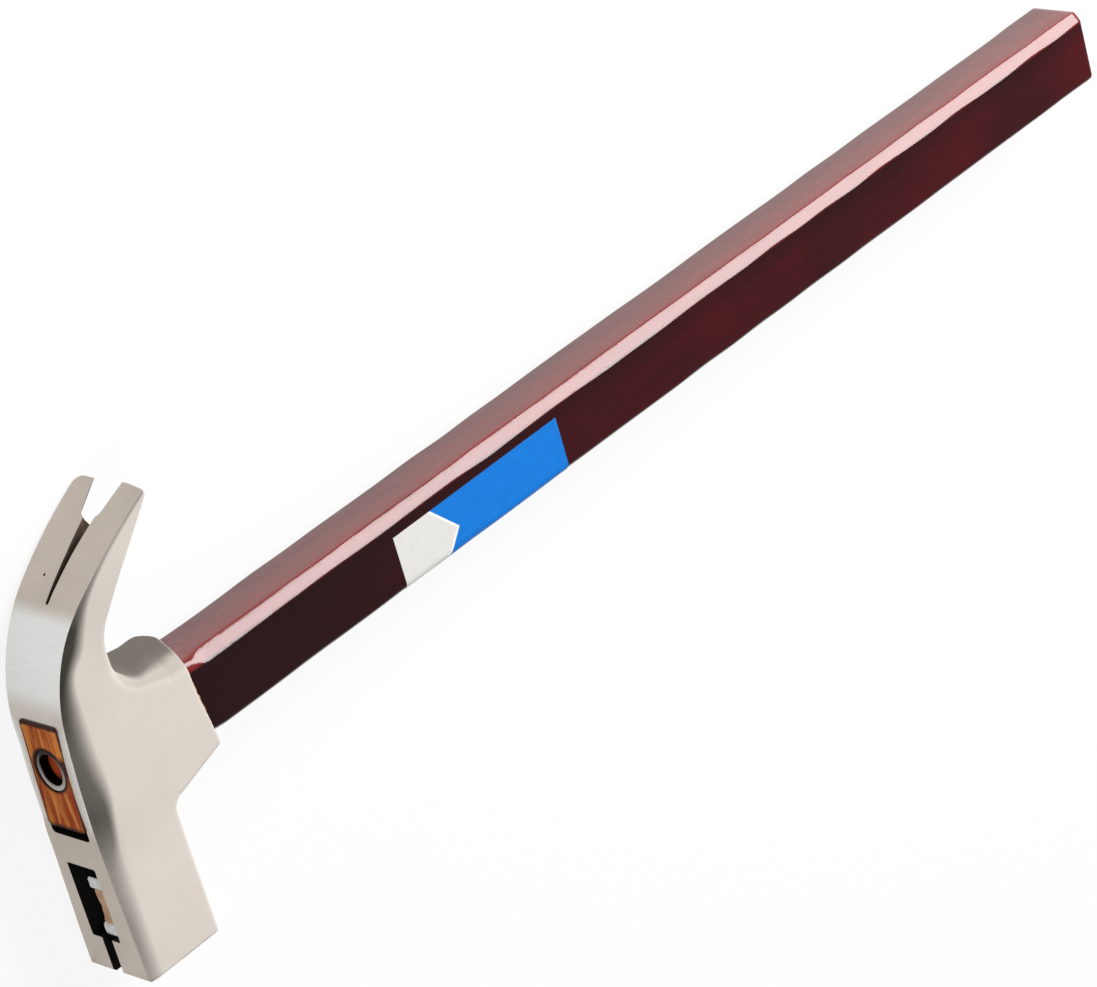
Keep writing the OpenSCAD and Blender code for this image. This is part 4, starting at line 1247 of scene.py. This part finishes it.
def cast_resin():
    finish, tree, shader, place = new_finish("cast_polyester_resin", IOR=1.55, Roughness=0.35)
    drop = add(tree, "ShaderNodeTexNoise", {"Vector": place, "Scale": MM / RESIN_SWIRL, "Detail": 3.0})
    tone = add(tree, "ShaderNodeMix", {FACTOR: drop.outputs["Fac"], COLOUR_A: linear("#8f4a22"),
                                       COLOUR_B: linear("#dcb184")}, data_type="RGBA")
    bump = add(tree, "ShaderNodeBump", {"Height": drop.outputs["Fac"], "Strength": 0.3,
                                        "Distance": 0.0003})
    tree.links.new(tone.outputs[COLOUR_OUT], shader.inputs["Base Color"])
    tree.links.new(bump.outputs[0], shader.inputs["Normal"])
    return finish


NICKEL = plated_nickel()
RESIN = cast_resin()

# %% A lump: a rounded box with an uneven skin
LUMP_CUTS = 15           # each side of the box is cut this many times
SWELLS = 6               # waves that make it uneven
SWELL_SCALE = 1.1        # mm, their scale


def lump(name, low, high, rounding, waviness, seed, finish):
    """A closed, rounded and slightly uneven body between two corners of the drawing frame."""
    low, high = np.array(low, float), np.array(high, float)
    half, middle = (high - low) / 2, (high + low) / 2
    shell = bmesh.new()
    bmesh.ops.create_cube(shell, size=2)
    bmesh.ops.subdivide_edges(shell, edges=shell.edges, cuts=LUMP_CUTS, use_grid_fill=True)
    at = np.array([v.co for v in shell.verts]) * half
    core = np.clip(at, rounding - half, half - rounding)
    out = at - core
    out /= np.maximum(np.linalg.norm(out, axis=1), 1e-9)[:, None]
    dice = np.random.default_rng(seed)
    wave = dice.normal(size=(SWELLS, 3)) / SWELL_SCALE
    phase = dice.uniform(0, 2 * math.pi, SWELLS)
    swell = np.sin(at @ wave.T + phase).mean(1) - 1
    at = middle + core + out * (rounding + waviness * swell)[:, None]
    for vertex, co in zip(shell.verts, in_row(at)):
        vertex.co = co
    mesh = bpy.data.meshes.new(name)
    shell.to_mesh(mesh)
    shell.free()
    mesh.materials.append(finish)
    mesh.shade_smooth()
    piece = bpy.data.objects.new(name, mesh)
    bpy.context.scene.collection.objects.link(piece)
    return outward(piece)


# %% The pocket's magnets and resin
# Each reaches from the pocket's wall towards the middle of the strip, and the front magnet is a
# little longer than its CAD node, towards the rear one.
REAR_REACH, FRONT_REACH, RESIN_REACH = 6.2, 6.8, 5.6
FRONT_LONGER = 1
rear_low, rear_high = (in_drawing(corner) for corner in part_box("magnet_rear"))
front_low, front_high = (in_drawing(corner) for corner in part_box("magnet_front"))
resin_low, resin_high = (in_drawing(corner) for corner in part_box("magnet_resin"))
rear_low[2] = rear_high[2] - REAR_REACH
front_low[2] = front_high[2] - FRONT_REACH
front_high[1] += FRONT_LONGER
resin_low[2] = resin_high[2] - RESIN_REACH
magnet_rear = lump("rear_magnet", rear_low, rear_high, rounding=1.1, waviness=0.12, seed=3,
                   finish=NICKEL)
magnet_front = lump("front_magnet", front_low, front_high, rounding=1.9, waviness=0.12, seed=4,
                    finish=NICKEL)
magnet_resin = lump("resin_bed", resin_low, resin_high, rounding=0.9, waviness=0.45, seed=8,
                    finish=RESIN)
print("rear magnet", rear_low.round(2), rear_high.round(2))
print("front magnet", front_low.round(2), front_high.round(2))
print("resin", resin_low.round(2), resin_high.round(2))

# %% [markdown]
# ## The label
# The label is a printed polyester film, stuck on one cheek of the handle and lapped over its edge.
# It carries plain bands: a white one towards the head and a blue one, with a zigzag edge between
# them and no lettering. The film is a thin closed skin that follows the handle's own section, so it
# lies on the wood everywhere, and a UV map, which runs along the handle and round it, carries the
# bands.

# %% Printed film
LABEL_LEN = 63.7
FILM_T = 0.12            # mm, thickness of the film
FADED = 4                # mm, size of the paler and stronger places of the print
BUBBLE = 1 / 0.6         # mm, size of the slight bubbles under the film
WHITE_LEN = 14           # mm, length of the white band, up to the zigzag's inner corners
TOOTH = 9                # mm, half a tooth of the zigzag, round the handle
TOOTH_STEEP = 0.9        # how far a tooth runs along the handle for each mm round it
WHITE_RIM = (1.0, 0.8)   # mm, the bright rim along the zigzag begins between these


def printed_film():
    """A white and a blue band with a zigzag between them, in the film's own millimetres."""
    finish, tree, shader, _ = new_finish("printed_polyester_film", IOR=1.5, Roughness=0.42)
    sheet = add(tree, "ShaderNodeUVMap", uv_map="film")
    at = add(tree, "ShaderNodeSeparateXYZ", {"Vector": sheet.outputs[0]}).outputs
    teeth = add(tree, "ShaderNodeMath", {0: at["Y"], 1: TOOTH}, operation="PINGPONG")
    edge = add(tree, "ShaderNodeMath", {0: teeth.outputs[0], 1: TOOTH_STEEP, 2: WHITE_LEN},
               operation="MULTIPLY_ADD")
    past_edge = add(tree, "ShaderNodeMath", {0: at["X"], 1: edge.outputs[0]}, operation="SUBTRACT")
    inked = add(tree, "ShaderNodeMapRange", {"Value": past_edge.outputs[0], "From Min": -0.08,
                                             "From Max": 0.08})
    rim = add(tree, "ShaderNodeMapRange", {"Value": past_edge.outputs[0], "From Min": -WHITE_RIM[0],
                                           "From Max": -WHITE_RIM[1]})
    fade = add(tree, "ShaderNodeTexNoise", {"Vector": sheet.outputs[0], "Scale": 1 / FADED,
                                            "Detail": 3.0})
    paper = add(tree, "ShaderNodeMix", {FACTOR: fade.outputs["Fac"], COLOUR_A: linear("#d9d8d3"),
                                        COLOUR_B: linear("#e4e3de")}, data_type="RGBA")
    rimmed = add(tree, "ShaderNodeMix", {FACTOR: rim.outputs[0], COLOUR_A: paper.outputs[COLOUR_OUT],
                                         COLOUR_B: linear("#f4f4f3")}, data_type="RGBA")
    blue = add(tree, "ShaderNodeMix", {FACTOR: fade.outputs["Fac"], COLOUR_A: linear("#0470cb"),
                                       COLOUR_B: linear("#087cdc")}, data_type="RGBA")
    print_colour = add(tree, "ShaderNodeMix", {FACTOR: inked.outputs[0],
                                               COLOUR_A: rimmed.outputs[COLOUR_OUT],
                                               COLOUR_B: blue.outputs[COLOUR_OUT]}, data_type="RGBA")
    bubble = add(tree, "ShaderNodeTexNoise", {"Vector": sheet.outputs[0], "Scale": 1 / BUBBLE,
                                              "Detail": 1.0})
    bump = add(tree, "ShaderNodeBump", {"Height": bubble.outputs["Fac"], "Strength": 0.3,
                                        "Distance": 0.0002})
    tree.links.new(print_colour.outputs[COLOUR_OUT], shader.inputs["Base Color"])
    tree.links.new(bump.outputs[0], shader.inputs["Normal"])
    return finish


FILM = printed_film()

# %% The film, laid on the handle's section
LABEL_FROM = 115         # mm from the head's top
LABEL_TOP = (4.6, 5.0)   # the upper edge, at the head end and at the butt end
LABEL_LAP_Z = -3         # the lap ends here, on the face side
FILM_GAP = 0.01          # mm between the film and the lacquer
LABEL_STEPS, FILM_STEPS = 86, 40        # points along the label, and across it


def film_path(x, top, lift):
    """Points down the handle's section, from the label's upper edge to the end of its lap."""
    section = shaft_section(x)
    ring = np.vstack([section, section[:1]])
    cheek = ring[(ring[:, 1] > LABEL_LAP_Z) & (ring[:, 0] < top)]
    order = np.argsort(np.arctan2(cheek[:, 1], cheek[:, 0]) % (2 * math.pi))
    path = np.vstack([[top, HANDLE_T / 2], cheek[order], [-HANDLE_W / 2, LABEL_LAP_Z]])
    step = np.concatenate([[0], np.cumsum(np.hypot(*np.diff(path, axis=0).T))])
    even = np.linspace(0, step[-1], FILM_STEPS)
    laid = np.column_stack([np.interp(even, step, path[:, k]) for k in (0, 1)])
    turn = np.gradient(laid, axis=0)
    out = np.column_stack([turn[:, 1], -turn[:, 0]])
    out /= np.hypot(*out.T)[:, None]
    out *= np.sign((out * laid).sum(1))[:, None]
    return laid + out * lift, even


def film_sheet(name):
    """The label as a thin closed skin, with its UV map in millimetres."""
    rows, across = [], []
    for x in np.linspace(LABEL_FROM, LABEL_FROM + LABEL_LEN, LABEL_STEPS):
        share = (x - LABEL_FROM) / LABEL_LEN
        top = LABEL_TOP[0] + (LABEL_TOP[1] - LABEL_TOP[0]) * share
        outer, run = film_path(x, top, FILM_T + FILM_GAP)
        inner, _ = film_path(x, top, FILM_GAP)
        ring = np.vstack([outer, inner[::-1]])
        rows.append(np.column_stack([np.full(len(ring), x), ring]))
        across.append(np.concatenate([run, run[::-1]]))
    points, faces = loft(rows)
    piece = new_piece(name, points, faces, [FILM])
    layer = piece.data.uv_layers.new(name="film")
    uv = np.column_stack([points[:, 0] - LABEL_FROM, np.concatenate(across)])
    corner = np.zeros(len(piece.data.loops), int)
    piece.data.loops.foreach_get("vertex_index", corner)
    layer.data.foreach_set("uv", uv[corner].ravel())
    return piece


label = outward(film_sheet("printed_label"))
label.data.shade_smooth()
label.data.set_sharp_from_angle(angle=SHARP)
print("label:", mesh_points(label).min(0).round(2), mesh_points(label).max(0).round(2))

# %% [markdown]
# ## Table and light
# The hammer lies on a pale table, under one large soft lamp, a weaker one beyond the head and a dim,
# even room. The large lamp stands where the sanded flat of the handle mirrors it, which draws the
# long bright line on the lacquer, and the cheek of the handle mirrors the dim room and stays dark.
# For the camera, and in reflections, the table glows, so that it reads as white but still holds
# some shadow.

# %% The table
TABLE_SIZE = 6           # metres
TABLE_GLOW = 0.88        # share of plain white in what the camera sees of the table
TABLE_SHINE = 0.8        # the same, for reflections


def pale_table():
    table = bpy.data.materials.new("matt_white_board")
    table.use_nodes = True
    tree = table.node_tree
    board = tree.nodes["Principled BSDF"]
    board.inputs["Base Color"].default_value = linear("#f2f2f2")
    board.inputs["Roughness"].default_value = 0.9
    board.inputs["Specular IOR Level"].default_value = 0.1
    ray = add(tree, "ShaderNodeLightPath").outputs
    shone = add(tree, "ShaderNodeMath", {0: ray["Is Glossy Ray"], 1: ray["Is Transmission Ray"]},
                operation="MAXIMUM")
    shone = add(tree, "ShaderNodeMath", {0: shone.outputs[0], 1: TABLE_SHINE}, operation="MULTIPLY")
    share = add(tree, "ShaderNodeMath", {0: ray["Is Camera Ray"], 1: TABLE_GLOW, 2: shone.outputs[0]},
                operation="MULTIPLY_ADD")
    white = add(tree, "ShaderNodeEmission", {"Color": linear("#ffffff"), "Strength": 1.0})
    mixed = add(tree, "ShaderNodeMixShader", {0: share.outputs[0], 1: board.outputs[0],
                                              2: white.outputs[0]})
    tree.links.new(mixed.outputs[0], tree.nodes["Material Output"].inputs["Surface"])
    return table


corner = TABLE_SIZE * 1000 / 2
table_z = -DRAWING_ORIGIN[2]
table = new_piece("table", [[-corner, -corner, table_z], [corner, -corner, table_z],
                            [corner, corner, table_z], [-corner, corner, table_z]],
                  [[0, 1, 2, 3]], [pale_table()])

# %% The room
ROOM_LIGHT = 0.15        # share of plain white that the room gives to everything but the camera
world = bpy.data.worlds.new("studio")
bpy.context.scene.world = world
world.use_nodes = True
room = world.node_tree
room.nodes.clear()
sight = add(room, "ShaderNodeLightPath").outputs
dim = add(room, "ShaderNodeBackground", {"Color": linear("#f4f2ee"), "Strength": ROOM_LIGHT})
plain = add(room, "ShaderNodeBackground", {"Color": linear("#ffffff"), "Strength": 1.0})
shown = add(room, "ShaderNodeMixShader", {0: sight["Is Camera Ray"], 1: dim.outputs[0],
                                          2: plain.outputs[0]})
add(room, "ShaderNodeOutputWorld", {"Surface": shown.outputs[0]})

# %% The lamps
def soft_lamp(name, towards, distance, size, power):
    """A rectangular lamp of so many watts that faces the hammer, from a direction and a distance.

    Its first size lies along the handle. Distance and sizes are in metres.
    """
    lamp = bpy.data.lights.new(name, "AREA")
    lamp.shape = "RECTANGLE"
    lamp.size, lamp.size_y = size
    lamp.energy = power
    holder = bpy.data.objects.new(name, lamp)
    bpy.context.scene.collection.objects.link(holder)
    away = Vector(towards).normalized()
    across = away.cross(Vector((1, 0, 0))).normalized()
    turned = Matrix((across.cross(away), across, away)).transposed().to_4x4()
    holder.matrix_world = Matrix.Translation(away * distance) @ turned


soft_lamp("key_lamp", (0.576, 0.492, 0.654), distance=1.3, size=(1.06, 0.86), power=28)
soft_lamp("fill_lamp", (-0.9, -0.2, 0.75), distance=1.8, size=(1.2, 1.2), power=9)
bpy.context.scene.view_settings.view_transform = "Standard"

# %% Which CAD node each piece stands for
STANDS_FOR = {
    forged_head: ("head", "head_steel"),
    lacquered_handle: ("handle", "handle_wood"),
    ring_wedge: ("ring_wedge", "wedge_steel"),
    magnet_rear: ("magnet_rear", "magnet_nickel"),
    magnet_front: ("magnet_front", "magnet_nickel"),
    magnet_resin: ("magnet_resin", "resin"),
    label: ("label", "label_film"),
}
for piece, (cad_node, slot) in STANDS_FOR.items():
    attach(piece, "root")
    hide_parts(cad_node)
